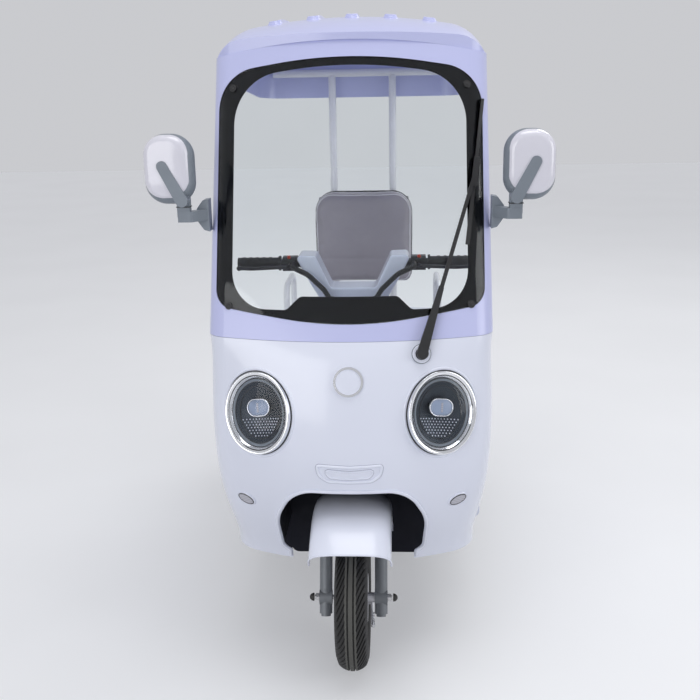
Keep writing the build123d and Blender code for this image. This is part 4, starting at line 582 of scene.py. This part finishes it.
def tyre(name, node, centre, body):
    """Tyre turned about X: two centre grooves, slanted shoulder sipes and ringed sidewalls."""
    section = tyre_section()
    rows = []
    for pitch in range(TYRE_PITCHES):
        for share, deep in SIPE_STEPS:
            row = []
            for x, radius, sipe in section:
                size = radius - SIPE_DEPTH * sipe * deep
                skew = max(0.0, min(abs(x), SIPE_END) - SIPE_START) * SIPE_SLOPE / TYRE_RADIUS
                angle = 2 * pi * (pitch + share) / TYRE_PITCHES + copysign(skew, x)
                row.append(centre + Vector((x, size * sin(angle), size * cos(angle))) / 1000)
            rows.append(row)
    mesh = bmesh.new()
    add_skin(mesh, rows, True)
    made = piece(name, mesh, "tyre", node, 38, body)
    made.data.materials.append(WORN_TREAD)
    for face in made.data.polygons:
        place = face.center - centre
        if abs(place.x) < WORN_HALF_WIDTH and hypot(place.y, place.z) > (TYRE_RADIUS - 3) / 1000:
            face.material_index = 1


def wheel_hardware(wheel, centre, body):
    """Valve stem on the rim and, on a rear wheel, a ring of four nuts."""
    mesh = bmesh.new()
    outward = -X if wheel == "rear_left" else X
    if wheel != "front":
        for index in range(4):
            angle = pi / 2 * index + 0.4
            place = centre + outward * 0.0025 + (Y * sin(angle) + Z * cos(angle)) * 0.051
            add_bolt(mesh, place, outward, 0.0055, 0.006)
    radial = Vector((0, 0.57, 0.82)).normalized()
    foot = centre + radial * 0.086 + outward * 0.004
    add_tube(mesh, [foot, foot + outward * 0.024 - radial * 0.004], 0.003, 10)
    cap = [foot + outward * 0.022 - radial * 0.0036, foot + outward * 0.032 - radial * 0.0052]
    add_tube(mesh, cap, 0.0042, 10)
    piece(f"{wheel}_wheel_hardware", mesh, "zinc_steel", body=body)


for wheel, node, centre, body in WHEELS:
    tyre(f"{wheel}_treaded_tyre", node, centre, body)
for wheel, _, centre, body in WHEELS:
    wheel_hardware(wheel, centre, body)


# Cushions

PAN_TOP = 0.626
DECK_TOP = 0.612
SOFT_INSET = 0.004
BLOW_FRAMES = 18
CLOTH = {
    "quality": 5, "mass": 0.3, "tension_stiffness": 12, "compression_stiffness": 12, "shear_stiffness": 6,
    "bending_stiffness": 0.6, "use_pressure": True, "uniform_pressure_force": 4.0,
}
STITCH_PITCH = 0.007
STITCH_LENGTH = 0.0042
STITCH_LIFT = 0.0004


def apply_modifiers(obj):
    """Gives an object the mesh that its modifiers make."""
    data = bpy.data.meshes.new_from_object(obj.evaluated_get(bpy.context.evaluated_depsgraph_get()))
    obj.modifiers.clear()
    obj.data = data


def soft_copy(node):
    """Copy of a plain soft solid, drawn in about its middle and remeshed."""
    low, high, middle, _ = node_box(node)
    data = frame["nodes"][node].data.copy()
    for vert in data.vertices:
        offset = vert.co - middle
        vert.co = middle + Vector(offset[i] * (1 - 2 * SOFT_INSET / (high[i] - low[i])) for i in range(3))
    obj = in_scene("soft_work", data)
    remesh = obj.modifiers.new("remesh", "REMESH")
    remesh.mode = "VOXEL"
    remesh.voxel_size = 0.006
    apply_modifiers(obj)
    return obj


def inflate(obj, cap):
    """Runs the cloth with air inside, then holds each point to the cap from where it was."""
    before = [vert.co.copy() for vert in obj.data.vertices]
    cloth = obj.modifiers.new("cloth", "CLOTH")
    for key, value in CLOTH.items():
        setattr(cloth.settings, key, value)
    cloth.settings.effector_weights.gravity = 0
    cloth.point_cache.frame_start = 1
    cloth.point_cache.frame_end = BLOW_FRAMES + 2
    for index in range(1, BLOW_FRAMES + 1):
        bpy.context.scene.frame_set(index)
    apply_modifiers(obj)
    for vert, start in zip(obj.data.vertices, before):
        step = vert.co - start
        if step.length > cap:
            step *= cap / step.length
        vert.co = start + step
    bpy.context.scene.frame_set(1)


def soft_body(node, cap):
    """Blown-up, smoothed and subdivided copy of a plain soft solid."""
    obj = soft_copy(node)
    inflate(obj, cap)
    mesh = bmesh.new()
    mesh.from_mesh(obj.data)
    for _ in range(2):
        bmesh.ops.smooth_vert(
            mesh, verts=mesh.verts, factor=0.5, use_axis_x=True, use_axis_y=True, use_axis_z=True
        )
    mesh.to_mesh(obj.data)
    mesh.free()
    obj.modifiers.new("fine", "SUBSURF").levels = 1
    apply_modifiers(obj)
    return obj


def dress_cushion(obj, name, node, body):
    """Makes a shaped cushion a padded piece in its node's place, and gives what rays are cast on."""
    obj.name = name
    obj.data.name = name
    obj.data.materials.clear()
    obj.data.materials.append(SLOTS["seat_leather"])
    obj.data.shade_smooth()
    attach(obj, body)
    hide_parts(node)
    return BVHTree.FromObject(obj, bpy.context.evaluated_depsgraph_get())


def groove(distance, width, depth):
    return depth * exp(-((distance / width) ** 2))


def nearest(tree, point, lift):
    """Place on a cushion nearest to a point, lifted off it."""
    place, normal, _, _ = tree.find_nearest(point)
    return place + normal * lift


def below(tree, point, lift):
    """Place on a cushion straight below a point, or else nearest to it, lifted off it."""
    place, normal, _, _ = tree.ray_cast(point + Z * 0.05, -Z)
    return place + normal * lift if place else nearest(tree, point, lift)


def sewn_line(name, tree, points, body, radius, material=PIPING):
    """Closed cord laid on a cushion along points."""
    mesh = bmesh.new()
    add_tube(mesh, [nearest(tree, point, 0.0002) for point in points], radius, 8, True)
    piece(name, mesh, "seat_leather", body=body, material=material)


def stitches(name, tree, start, end, body):
    """Straight row of short stitches on top of a cushion."""
    mesh = bmesh.new()
    ahead = (end - start).normalized()
    for index in range(int((end - start).length / STITCH_PITCH) + 1):
        middle = below(tree, start + ahead * (index * STITCH_PITCH), STITCH_LIFT)
        first = below(tree, middle - ahead * STITCH_LENGTH / 2, STITCH_LIFT * 0.3)
        last = below(tree, middle + ahead * STITCH_LENGTH / 2, STITCH_LIFT * 0.3)
        add_tube(mesh, [first, middle, last], [0.0003, 0.0006, 0.0003], 5)
    piece(name, mesh, "seat_leather", body=body, material=THREAD)


def seat_cushion(name, node, body, foot, corner, channels):
    """Crowned seat: blown up, flat where it rests, with stitched channels and a piped top edge."""
    obj = soft_body(node, 0.007)
    _, high, middle, half = node_box(node)
    for vert in obj.data.vertices:
        across = (vert.co.x - middle.x) / half.x
        along = (vert.co.y - middle.y) / half.y
        up = max(0.0, (vert.co.z - foot) / (high.z - foot))
        crown = 0.006 * (1 - across**2) * (1 - along**2) - 0.003
        seams = sum(groove(vert.co.x - middle.x - at, 0.004, 0.0036) for at in channels)
        vert.co.z += (crown - seams) * up**3
        vert.co.z = min(max(vert.co.z, foot + 0.0003), high.z + 0.006)
    tree = dress_cushion(obj, name, node, body)
    middle.z = high.z - 0.006
    edge = rounded_rectangle(middle, X, Y, half.x - 0.009, half.y - 0.009, corner)
    sewn_line(f"{name}_piping", tree, edge, body, 0.0022)
    middle.z = foot + 0.02
    low_edge = rounded_rectangle(middle, X, Y, half.x + 0.004, half.y + 0.004, corner)
    sewn_line(f"{name}_lower_seam", tree, low_edge, body, 0.0012, SLOTS["seat_leather"])
    middle.z = high.z + 0.004
    reach = Y * (half.y * 0.86)
    for index, at in enumerate(channels):
        for side, offset in (("a", -0.006), ("b", 0.006)):
            place = middle + X * (at + offset)
            stitches(f"{name}_stitches_{index}{side}", tree, place - reach, place + reach, body)


def backrest():
    """Smooth crowned pad with thin pale piping round its face and round its back edge."""
    obj = soft_body("backrest_pad", 0.009)
    low, high, middle, half = node_box("backrest_pad")
    for vert in obj.data.vertices:
        across = (vert.co.x - middle.x) / half.x
        up = (vert.co.z - middle.z) / half.z
        front = max(0.0, (high.y - vert.co.y) / (high.y - low.y))
        crown = 0.008 * (1 - min(1.0, across**2)) * (1 - min(1.0, up**2)) - 0.003
        pull = groove(up + 0.42, 0.05, 0.0016)
        vert.co.y = min(vert.co.y - (crown - pull) * front**2, high.y)
    tree = dress_cushion(obj, "backrest_cushion", "backrest_pad", "root")
    for name, inset, y in (("face", 0.005, low.y - 0.002), ("edge", 0, high.y - 0.012)):
        middle.y = y
        border = rounded_rectangle(middle, X, Z, half.x - inset, half.z - inset, 0.058)
        sewn_line(f"backrest_piping_{name}", tree, border, "root", 0.0018)


seat_cushion("saddle_seat", "saddle_cushion", "saddle", PAN_TOP, 0.042, (-0.05, 0.05))
seat_cushion("bench_seat", "bench_cushion", "root", DECK_TOP, 0.034, (-0.105, 0.0, 0.105))
backrest()


# Control hoses

HOSE_ROUTE = [
    (162, 324.7, 1004), (162, 282, 1004), (118, 250, 990), (76, 246, 950), (56, 242, 918), (56, 276.6, 918),
]
HOSE_BENDS = [0.02, 0.034, 0.034, 0.014]
HOSE_STEP = 0.00125
RIB_RADII = (0.0074, 0.0069, 0.006, 0.0069)
COLLAR_RADIUS = 0.0078


def hoses():
    """Corrugated sleeves with a collar at each end."""
    mesh = bmesh.new()
    for side in SIDES:
        line = rounded_path([mm(side * x, y, z) for x, y, z in HOSE_ROUTE], HOSE_BENDS, HOSE_STEP)
        radii = [RIB_RADII[index % 4] for index in range(len(line))]
        radii[:8] = [COLLAR_RADIUS] * 8
        radii[-8:] = [COLLAR_RADIUS] * 8
        add_tube(mesh, line, radii, 18)
    piece("corrugated_hoses", mesh, "grip_rubber", "control_hoses", 50, "steering")


hoses()


# Front fender

FENDER_RADIUS = 275
FENDER_SKIRT_RADIUS = 212
FENDER_HALF_WIDTH = 101
FENDER_WALL = 3
FENDER_ANGLES = (51, 152)
FENDER_SQUARENESS = 3.5


def fender_section(wall):
    """(x, radius) points across the fender: a rounded crown that falls to a skirt at each side."""
    points = []
    for index in range(41):
        angle = pi * index / 40
        across = copysign(abs(cos(angle)) ** (2 / FENDER_SQUARENESS), -cos(angle))
        rise = sin(angle) ** (2 / FENDER_SQUARENESS)
        radius = FENDER_SKIRT_RADIUS + (FENDER_RADIUS - wall - FENDER_SKIRT_RADIUS) * rise
        points.append(((FENDER_HALF_WIDTH - wall) * across, radius))
    return points


def fender_ring(section, degrees, inset=0.0):
    """The section as it stands at an angle about the front axle."""
    turn = radians(degrees)
    ahead = Vector((0, -cos(turn), sin(turn)))
    return [FRONT_AXLE + (X * x + ahead * (radius - inset)) / 1000 for x, radius in section]


def fender():
    """Rounded fender shell with a rolled lip at its front and tail."""
    mesh = bmesh.new()
    outer = fender_section(0)
    section = outer + list(reversed(fender_section(FENDER_WALL)))
    first, last = FENDER_ANGLES
    steps = 44
    rings = [fender_ring(section, first + (last - first) * step / steps) for step in range(steps + 1)]
    add_skin(mesh, rings, False, (0, -1))
    for angle in FENDER_ANGLES:
        add_tube(mesh, fender_ring(outer, angle, FENDER_WALL / 2), 0.0024, 8)
    piece("fender_shell", mesh, "white_paint", "front_fender", 50, "steering")


fender()


# Headlamps

LAMP_TURN = radians(22)
LAMP_TILT = radians(13)
LAMP_ROLL = radians(-9)
LAMP_MIDDLE = mm(225, -34, 706)
DISH_HALF = (65.6, 76.4)
DISH_FLOOR = -24
DISH_RISE = 17
PROJECTOR_RISE = 12
STUD_PITCH = (8.2, 6.8)

# Rows of half across, half up and place along the lamp's axis, in millimetres
BRIGHT_RING = [
    (88.6, 101.6, -22), (88.6, 101.6, 5.2), (87.4, 100.4, 6.6), (84.4, 97, 6.2), (78, 90, 2.2),
    (73.4, 85, -2.2), (72, 83.4, -5), (72, 83.4, -22),
]
COVER = [
    (79.8, 92.2, 3.6), (70, 81, 5.4), (50, 58, 7.6), (25, 29, 8.7), (0.05, 0.05, 9),
    (0.05, 0.05, 7.2), (25, 29, 6.9), (50, 58, 5.8), (70, 81, 3.6), (79.8, 92.2, 1.8),
]
DARK_STEP = [(72.6, 84, -4.4), (67, 77.8, -5.6), (65.2, 75.8, -7.4), (65.2, 75.8, -10), (72.6, 84, -10)]
DISH_RIM = [(60, 70, -34), (73, 84.5, -14), (73, 84.5, -7), (66, 76.8, -7)]


def lamp_axes(side):
    """(middle, across, up, out) of one headlamp; side is 1 on the viewer's right and -1 on the left."""
    level = cos(LAMP_TILT)
    out = Vector((sin(LAMP_TURN) * level, -cos(LAMP_TURN) * level, sin(LAMP_TILT)))
    across = Matrix.Rotation(LAMP_ROLL, 3, out) @ Vector((cos(LAMP_TURN), sin(LAMP_TURN), 0))
    across.normalize()
    return mirrored((LAMP_MIDDLE, across, out.cross(across).normalized(), out), side)


def lamp_point(axes, across, up, out):
    middle, right, above, ahead = axes
    return middle + (right * across + above * up + ahead * out) / 1000


def lamp_oval(axes, wide, tall, out):
    _, right, above, _ = axes
    return oval(lamp_point(axes, 0, 0, out), right * wide / 1000, above * tall / 1000, 64)


def lamp_slot(axes, half_length, radius, out):
    """Stadium outline lying across the lamp at the projector's height."""
    points = []
    for sign in (1, -1):
        for index in range(14):
            angle = -pi / 2 + pi * index / 13
            x = sign * (half_length - radius + radius * cos(angle))
            points.append(lamp_point(axes, x, PROJECTOR_RISE + sign * radius * sin(angle), out))
    return points


def lamp_line(tree, axes, wide, tall, lift):
    """Oval round a lamp, laid on the cowl."""
    return laid(tree, lamp_oval(axes, wide, tall, 80), -axes[3], lift / 1000)


def dish_depth(across, up):
    """Where the dark dish lies along the lamp's axis, in millimetres."""
    return DISH_FLOOR + DISH_RISE * hypot(across / DISH_HALF[0], up / DISH_HALF[1]) ** 2.4


def dish_rows(axes):
    """Ovals from behind the dish's rim to near its middle."""
    rows = [lamp_oval(axes, *row) for row in DISH_RIM]
    for step in range(13):
        across, up = (half * (1 - step / 13) for half in DISH_HALF)
        rows.append(lamp_oval(axes, across, up, dish_depth(across, 0)))
    return rows


def projector_rows(axes):
    """Slots of the projector's domed glass."""
    rows = []
    for step in range(5):
        angle = pi / 2 * step / 4
        inset = 18.2 * (1 - cos(angle))
        rows.append(lamp_slot(axes, 28.4 - inset, 18.9 - inset, -8.2 + 5 * sin(angle)))
    return rows


def add_studs(mesh, axes):
    """Rows of small studs low on the dish."""
    for row in range(7):
        for column in range(-7, 8):
            x = (column + (row % 2) / 2) * STUD_PITCH[0]
            y = -17 - row * STUD_PITCH[1]
            if hypot(x / 54, y / 62) < 1:
                add_dome(mesh, lamp_point(axes, x, y, dish_depth(x, y)), axes[3], 0.0017, 0.0018, 7)


def headlamps():
    """Bright ring, dark dish with rows of studs, projector with its collar and bar, and a clear cover."""
    tree = node_tree("cowl_lower")
    rings, steps, seams, dishes, studs, projector, bar, covers, rims = (bmesh.new() for _ in range(9))
    for side in SIDES:
        axes = lamp_axes(side)
        for mesh, rows in ((rings, BRIGHT_RING), (covers, COVER), (steps, DARK_STEP)):
            add_skin(mesh, [lamp_oval(axes, *row) for row in rows], True)
        add_tube(rings, lamp_slot(axes, 30, 20.5, -7), 0.0016, 8, True)
        add_tube(rims, lamp_line(tree, axes, 95, 108, -1.2), 0.0036, 10, True)
        add_tube(seams, lamp_line(tree, axes, 90, 103, 0.4), 0.0011, 8, True)
        for row in ((72.2, 83.6, -4.2), (65, 75.6, -7.2), (55, 65, dish_depth(55, 0) + 0.4)):
            add_tube(seams, lamp_oval(axes, *row), 0.0009, 8, True)
        add_skin(dishes, dish_rows(axes), False, (0, -1))
        add_skin(dishes, [lamp_slot(axes, 29, 19.5, -26), lamp_slot(axes, 29, 19.5, -8)], False, (0, -1))
        add_studs(studs, axes)
        add_skin(projector, projector_rows(axes), False, (0, -1))
        turn = Matrix(axes[1:]).transposed()
        add_box(bar, lamp_point(axes, 0, PROJECTOR_RISE, -3.2), (0.005, 0.023, 0.002), 0.0008, turn)
    piece("headlamp_rings", rings, "chrome_trim", "headlamp_bezels", 60)
    piece("headlamp_covers", covers, "lamp_lens", "headlamp_lenses", 60)
    piece("headlamp_dishes", dishes, "lamp_reflector", "headlamp_bowls", 50)
    piece("headlamp_steps", steps, "grey_plastic")
    piece("headlamp_seams", seams, "black_plastic")
    piece("headlamp_studs", studs, "white_paint")
    piece("headlamp_rims", rims, "white_paint", crease=60)
    piece("headlamp_projectors", projector, "marker_lens", material=LAMP_GLASS)
    piece("headlamp_bars", bar, "marker_lens")


headlamps()


# Mirrors

MIRROR = (434, 117, 1282)
MIRROR_HALF = (62, 84)
MIRROR_CORNER = 54
MIRROR_DEPTH = 34
CAP_SHIFT = (2.5, 4)
CAP_HALF = (57.5, 78.5)
CAP_CORNER = 50


def add_layers(mesh, side, centre, half, corner, layers):
    """Shell through stacked outlines, closed in front, from (inset, y) rows in millimetres."""
    rows = []
    for inset, y in layers:
        outline = rounded_corners(half[0] - inset, half[1] - inset, max(4, corner - inset), 16)
        rows.append([mm(side * (centre[0] + x), y, centre[1] + z) for x, z in outline])
    add_skin(mesh, rows, False, (-1,))


def rounded_layers(reach, depth, y_from, power):
    """(inset, y) rows of an edge that turns from the side to the front."""
    rows = []
    for index in range(13):
        angle = pi / 2 * index / 12
        inset = reach * (1 - cos(angle) ** (2 / power))
        rows.append((inset, y_from - depth * sin(angle) ** (2 / power)))
    return rows


def mirrors():
    """Grey housings, each with a pearly cap that leaves a band of grey along the inner and lower edge."""
    shells, caps, necks = (bmesh.new() for _ in range(3))
    x, rear, z = MIRROR
    body = [(5, rear)] + rounded_layers(34, MIRROR_DEPTH, rear, 2.4)
    face = rounded_layers(20, 22, 104, 2.2) + [(30, 81.3), (42, 80.8)]
    for side in SIDES:
        add_layers(shells, side, (x, z), MIRROR_HALF, MIRROR_CORNER, body)
        add_layers(caps, side, (x + CAP_SHIFT[0], z + CAP_SHIFT[1]), CAP_HALF, CAP_CORNER, face)
        add_box(necks, mm(side * 403.5, 107, 1191.6), (0.0345, 0.025, 0.0024), 0.0006)
    piece("mirror_caps", caps, "pearl_plastic", "mirror_housings", 60)
    piece("mirror_shells", shells, "grey_plastic", crease=60)
    piece("mirror_neck_gaps", necks, "black_plastic")


mirrors()


# Windscreen fasteners

SCREEN_FOOT = (-20, 880)
SCREEN_SLOPE = 0.395
SCREEN_NOSE_RADIUS = 950


def screen_fasteners():
    """Round caps on the border's four corners."""
    mesh = bmesh.new()
    for x, z in ((-297, 953), (297, 953), (-293, 1468), (293, 1468)):
        drop = sqrt(SCREEN_NOSE_RADIUS**2 - x**2)
        y = SCREEN_FOOT[0] + (z - SCREEN_FOOT[1]) * SCREEN_SLOPE + SCREEN_NOSE_RADIUS - drop
        normal = Vector((x / drop, -1, SCREEN_SLOPE)).normalized()
        place = mm(x, y, z) + normal * 0.0001
        collar = [(-0.0004, 0.0095), (0.002, 0.0095), (0.0026, 0.009), (0.0026, 0.0052)]
        add_lathe(mesh, place, normal, collar, 28)
        add_dome(mesh, place + normal * 0.0018, normal, 0.0052, 0.0022)
    piece("screen_screw_caps", mesh, "black_plastic")


screen_fasteners()


# Trim on the nose

BADGE_RADII = (0, 10, 20, 27, 30.4)
# Half of the wheel arch's edge: x, z and the radius of the corner there
ARCH_EDGE = [(0, 512, 0), (140, 512, 85), (186, 420, 110), (178, 322, 22), (158, 306, 8), (158, 284, 0)]
# Right half of the smile's rim and of the mouth in it: x, z and corner radius
SMILE_RIM = [(0, 584, 0), (79, 588, 4), (75, 562, 24), (52, 546, 30), (0, 545, 0)]
SMILE_MOUTH = [(0, 572, 0), (62, 577, 5), (48, 556, 14), (0, 553.5, 0)]

# Sections of the washer round the wiper's pivot and of the line round it: along the pivot and radius
WASHER = [
    (-0.001, 0.0146), (0.0016, 0.0146), (0.0024, 0.0154),
    (0.0024, 0.0208), (0.0014, 0.0222), (-0.002, 0.0224),
]
EDGE = [(-0.002, 0.0225), (0.001, 0.0225), (0.001, 0.0238), (-0.002, 0.0238)]


def badge():
    """White face that follows the raised disc inside the bright ring on the nose."""
    tree = node_tree("nose_ring")
    _, _, middle, _ = node_box("nose_ring")
    inward = Vector((0, 0.96, -0.28)).normalized()
    start = middle - inward * 0.06
    rows = []
    for reach in BADGE_RADII:
        ring = oval(start, X * reach / 1000, X.cross(inward) * reach / 1000, 48 if reach else 1)
        rows.append(laid(tree, ring, inward, 0.0003))
    mesh = bmesh.new()
    add_skin(mesh, rows)
    piece("badge_face", mesh, "white_paint")


def marker_rims():
    """Raised white rim round each marker lamp, and just inside it a black ring of painted shade along the
    lens's edge.
    """
    tree = node_tree("cowl_lower")
    rims, lines = bmesh.new(), bmesh.new()
    out = Vector((0.34, -0.94, -0.05)).normalized()
    across = Vector((0.9, 0.3, 0.32))
    across = (across - out * across.dot(out)).normalized()
    for side in SIDES:
        middle, flat, up, ahead = mirrored((mm(269, -12, 466), across, out.cross(across), out), side)
        for mesh, wide, tall, size, lift in (
            (rims, 0.0246, 0.0154, 0.0026, 0.0008), (lines, 0.0218, 0.0128, 0.0009, 0.0042),
        ):
            ring = oval(middle + ahead * 0.08, flat * wide, up * tall, 48)
            add_tube(mesh, laid(tree, ring, -ahead, lift), size, 8, True)
    piece("marker_rims", rims, "white_paint")
    # Black ring of painted shade round each marker lens
    piece("marker_shade_lines", lines, "black_plastic")


def arch_bead():
    """Rolled bead along the edge of the wheel arch."""
    mesh = bmesh.new()
    line = beside(both_halves(ARCH_EDGE), 0.0055)
    add_tube(mesh, laid(node_tree("cowl_lower"), line, Y), 0.005, 12)
    piece("arch_bead", mesh, "white_paint", crease=60)


def smile():
    """Rounded smile rim on the nose with a finer one round its mouth, each with a shadow line at its foot."""
    beads, lines = bmesh.new(), bmesh.new()
    cowl = node_tree("cowl_lower")
    for edge, size in ((SMILE_RIM, 0.004), (SMILE_MOUTH, 0.0026)):
        flat = both_halves(edge)[:-1]
        add_tube(beads, laid(cowl, flat, Y), size, 12, True)
        add_tube(lines, laid(cowl, beside(flat, size + 0.0003, True), Y), 0.0007, 8, True)
    piece("smile_beads", beads, "white_paint", "smile_moulding", 60)
    piece("smile_lines", lines, "white_paint", material=SMILE_SHADE)


def guard_edges():
    """Outer strips of the splash guard, which close the view past it through the wheel arch."""
    mesh = bmesh.new()
    for side in SIDES:
        add_box(mesh, mm(side * 205, 290.5, 283), (0.026, 0.003, 0.234), 0.001)
    piece("guard_edges", mesh, "liner_plastic")


def wiper_ring():
    """Pale washer round the wiper's pivot."""
    inward = Vector((-175 / SCREEN_NOSE_RADIUS, 0.93, -0.34)).normalized()
    side = inward.orthogonal().normalized()
    middle = mm(175, SCREEN_FOOT[0], 850)
    around = oval(middle - inward * 0.08, side * 0.018, inward.cross(side) * 0.018, 8)
    hits = laid(node_tree("wiper"), around, inward)
    centre = middle + inward * sorted((place - middle).dot(inward) for place in hits)[-3]
    for name, slot, rows in (("washer", "white_paint", WASHER), ("washer_edge", "grey_plastic", EDGE)):
        mesh = bmesh.new()
        add_lathe(mesh, centre, -inward, rows, 36, True)
        piece(f"wiper_{name}", mesh, slot)


badge()
marker_rims()
arch_bead()
smile()
guard_edges()
wiper_ring()


# Springs, floor ribs, buttons, display, bolts and brake rod

SPRING_FOOT, SPRING_TOP = 217.8, 379.7
# Up from the spring's foot or, where negative, down from its top, and the radius there
DAMPER = [
    (0, 0), (0, 24), (6, 24), (9, 21), (9, 12), (90, 12), (90, 9), (92, 6), (-9, 6), (-9, 21), (-6, 24),
]
RIB_COUNT = 22
RIB_MARGIN = 0.022


def springs():
    """Coil over a damper on each side, in the place of the stacked discs."""
    coil, damper = bmesh.new(), bmesh.new()
    rows = [((SPRING_FOOT if z >= 0 else SPRING_TOP) + z, radius) for z, radius in DAMPER]
    rows += [(SPRING_TOP, 24), (SPRING_TOP, 0)]
    for side in SIDES:
        base = mm(side * 160, REAR_AXLE_Y, 0)
        low, high = (SPRING_FOOT + 11) / 1000, (SPRING_TOP - 9) / 1000
        add_tube(coil, helix(base, Z, 0.0185, low, high, 6.5, 20), 0.0036, 10)
        add_lathe(damper, base, Z, [(z / 1000, radius / 1000) for z, radius in rows], 28)
    piece("suspension_coils", coil, "spring_steel", "spring_units")
    piece("suspension_dampers", damper, "zinc_steel")


def floor_ribs():
    """Low ribs across the mat, the first and last a little shorter."""
    mesh = bmesh.new()
    low, high, _, half = node_box("floor_mat")
    for index in range(RIB_COUNT):
        y = low.y + RIB_MARGIN + 2 * (half.y - RIB_MARGIN) * index / (RIB_COUNT - 1)
        inset = 0.03 if index in (0, RIB_COUNT - 1) else 0.02
        size = (2 * (half.x - inset), 0.0046, 0.0022)
        add_box(mesh, Vector((0, y, high.z + 0.0006)), size, 0.0007)
    piece("floor_mat_ribs", mesh, "mat_rubber")


def controls():
    """Coloured caps on the switch buttons, and the display's dark pane in a raised frame."""
    red, pane, rim = (bmesh.new() for _ in range(3))
    for side in SIDES:
        add_dome(red, mm(side * 180, 376.2, 1009), Y, 0.005, 0.004, 20)
        add_dome(red, mm(side * 176, 330, 1022.6), Z - Y, 0.0052, 0.005, 20)
    piece("switch_buttons", red, None, body="steering", material=BUTTON_RED)
    _, high, face, _ = node_box("instrument")
    face.y = high.y + 0.0003
    add_box(pane, face, (0.084, 0.0012, 0.026), 0.0005)
    piece("display_pane", pane, "black_plastic", body="steering", material=SCREEN_DARK)
    face.y = high.y + 0.0004
    add_tube(rim, rounded_rectangle(face, X, Z, 0.045, 0.016, 0.005, 8), 0.0013, 8, True)
    piece("display_frame", rim, "black_plastic", body="steering")


def bolts():
    """Fasteners on the foot plates, brackets, hinge plates and board, and caps on the front axle's ends."""
    mesh, caps = bmesh.new(), bmesh.new()
    for side in SIDES:
        for along in SIDES:
            for across in SIDES:
                add_bolt(mesh, mm(side * 102 + across * 19, 1132 + along * 19, 617), Z, 0.0045, 0.004)
                for y in (870, 1094):
                    add_bolt(mesh, mm(side * 252 + across * 13, y + along * 14, 616.3), Z, 0.004, 0.0035)
        for x in (50, 102):
            add_bolt(mesh, mm(side * x, 616.4, 574), -Y, 0.0035, 0.003)
        add_dome(caps, mm(side * 103.5, 0, TYRE_RADIUS), X * side, 0.0105, 0.0115, 24)
    for x in (-150, 0, 150):
        for z in (815, 1085):
            add_bolt(mesh, mm(x, 1117.2, z), Y, 0.0045, 0.004)
    piece("body_bolts", mesh, "zinc_steel")
    piece("axle_caps", caps, "grip_rubber", body="steering")


def brake_rod():
    """Bright rod with a return spring and a nut, from the front brake's arm to its spacer."""
    mesh = bmesh.new()
    foot, head = mm(49.5, 25.5, 84), mm(49.5, 12, 171)
    add_tube(mesh, [foot, head], 0.0021, 10)
    along = (head - foot).normalized()
    add_lathe(mesh, foot, along, [(-0.003, 0), (-0.003, 0.0052), (0.006, 0.0052), (0.006, 0)], 6)
    add_tube(mesh, helix(foot, along, 0.0036, 0.009, 0.045, 7, 14), 0.001, 6)
    piece("brake_rod", mesh, "chrome_trim", body="steering")


springs()
floor_ribs()
controls()
bolts()
brake_rod()


# Floor, lights and world

FLOOR_HALF = 14
COOL_WHITE = (0.95, 0.96, 1.0, 1)


def seen_rays(tree):
    """1 for what the camera, metal or glass shows, and 0 for what lights the object."""
    rays = add_node(tree, "ShaderNodeLightPath").outputs
    source = rays["Is Camera Ray"]
    for name in ("Is Glossy Ray", "Is Transmission Ray"):
        either = add_node(tree, "ShaderNodeMath", {0: source, 1: rays[name]}, operation="MAXIMUM")
        source = either.outputs["Value"]
    return source


def stage():
    """Plain pale floor."""
    data = bpy.data.meshes.new("floor")
    corners = ((-1, -1), (1, -1), (1, 1), (-1, 1))
    data.from_pydata([(x * FLOOR_HALF, y * FLOOR_HALF, 0) for x, y in corners], [], [(0, 1, 2, 3)])
    nodes = Nodes("floor_plain")
    tone = nodes.ramp(nodes.noise(1.5, 2.0), 0.3, linear(200, 201, 203), 0.7, linear(204, 205, 207))
    strength = nodes.span(seen_rays(nodes.tree), 0.0, 0.3)
    nodes.tree.links.new(strength, nodes.shader.inputs["Emission Strength"])
    rough = nodes.span(nodes.noise(3.0), 0.5, 0.6)
    data.materials.append(nodes.finish(tone, rough, Emission_Color=COOL_WHITE))
    in_scene("floor", data)


def area_light(name, place, aim, size, power):
    """Rectangular lamp at a place that shines at its aim."""
    data = bpy.data.lights.new(name, "AREA")
    data.shape = "RECTANGLE"
    data.size, data.size_y = size
    data.energy = power
    light = in_scene(name, data)
    light.location = place
    light.rotation_mode = "QUATERNION"
    light.rotation_quaternion = (Vector(aim) - Vector(place)).to_track_quat("-Z", "Y")


def world():
    """Even pale surroundings, a little brighter where they are seen than where they light."""
    made = bpy.data.worlds.new("studio")
    bpy.context.scene.world = made
    made.use_nodes = True
    tree = made.node_tree
    inputs = {"Value": seen_rays(tree), "To Min": 0.46, "To Max": 0.62}
    strength = add_node(tree, "ShaderNodeMapRange", inputs).outputs["Result"]
    background = tree.nodes["Background"]
    background.inputs["Color"].default_value = COOL_WHITE
    tree.links.new(strength, background.inputs["Strength"])


stage()
area_light("key", (-2.6, -4.6, 1.8), (0, -0.5, 0.7), (3.4, 2.6), 64)
area_light("top", (0.3, -0.9, 5.0), (0, 0, 0.8), (2.6, 2.6), 60)
area_light("fill", (3.8, -2.0, 1.8), (0, 0, 0.8), (2.2, 2.0), 36)
area_light("back", (2.6, 2.8, 4.6), (0, 0.1, 0.8), (2.4, 2.0), 60)
world()
bpy.context.scene.view_settings.view_transform = "Standard"
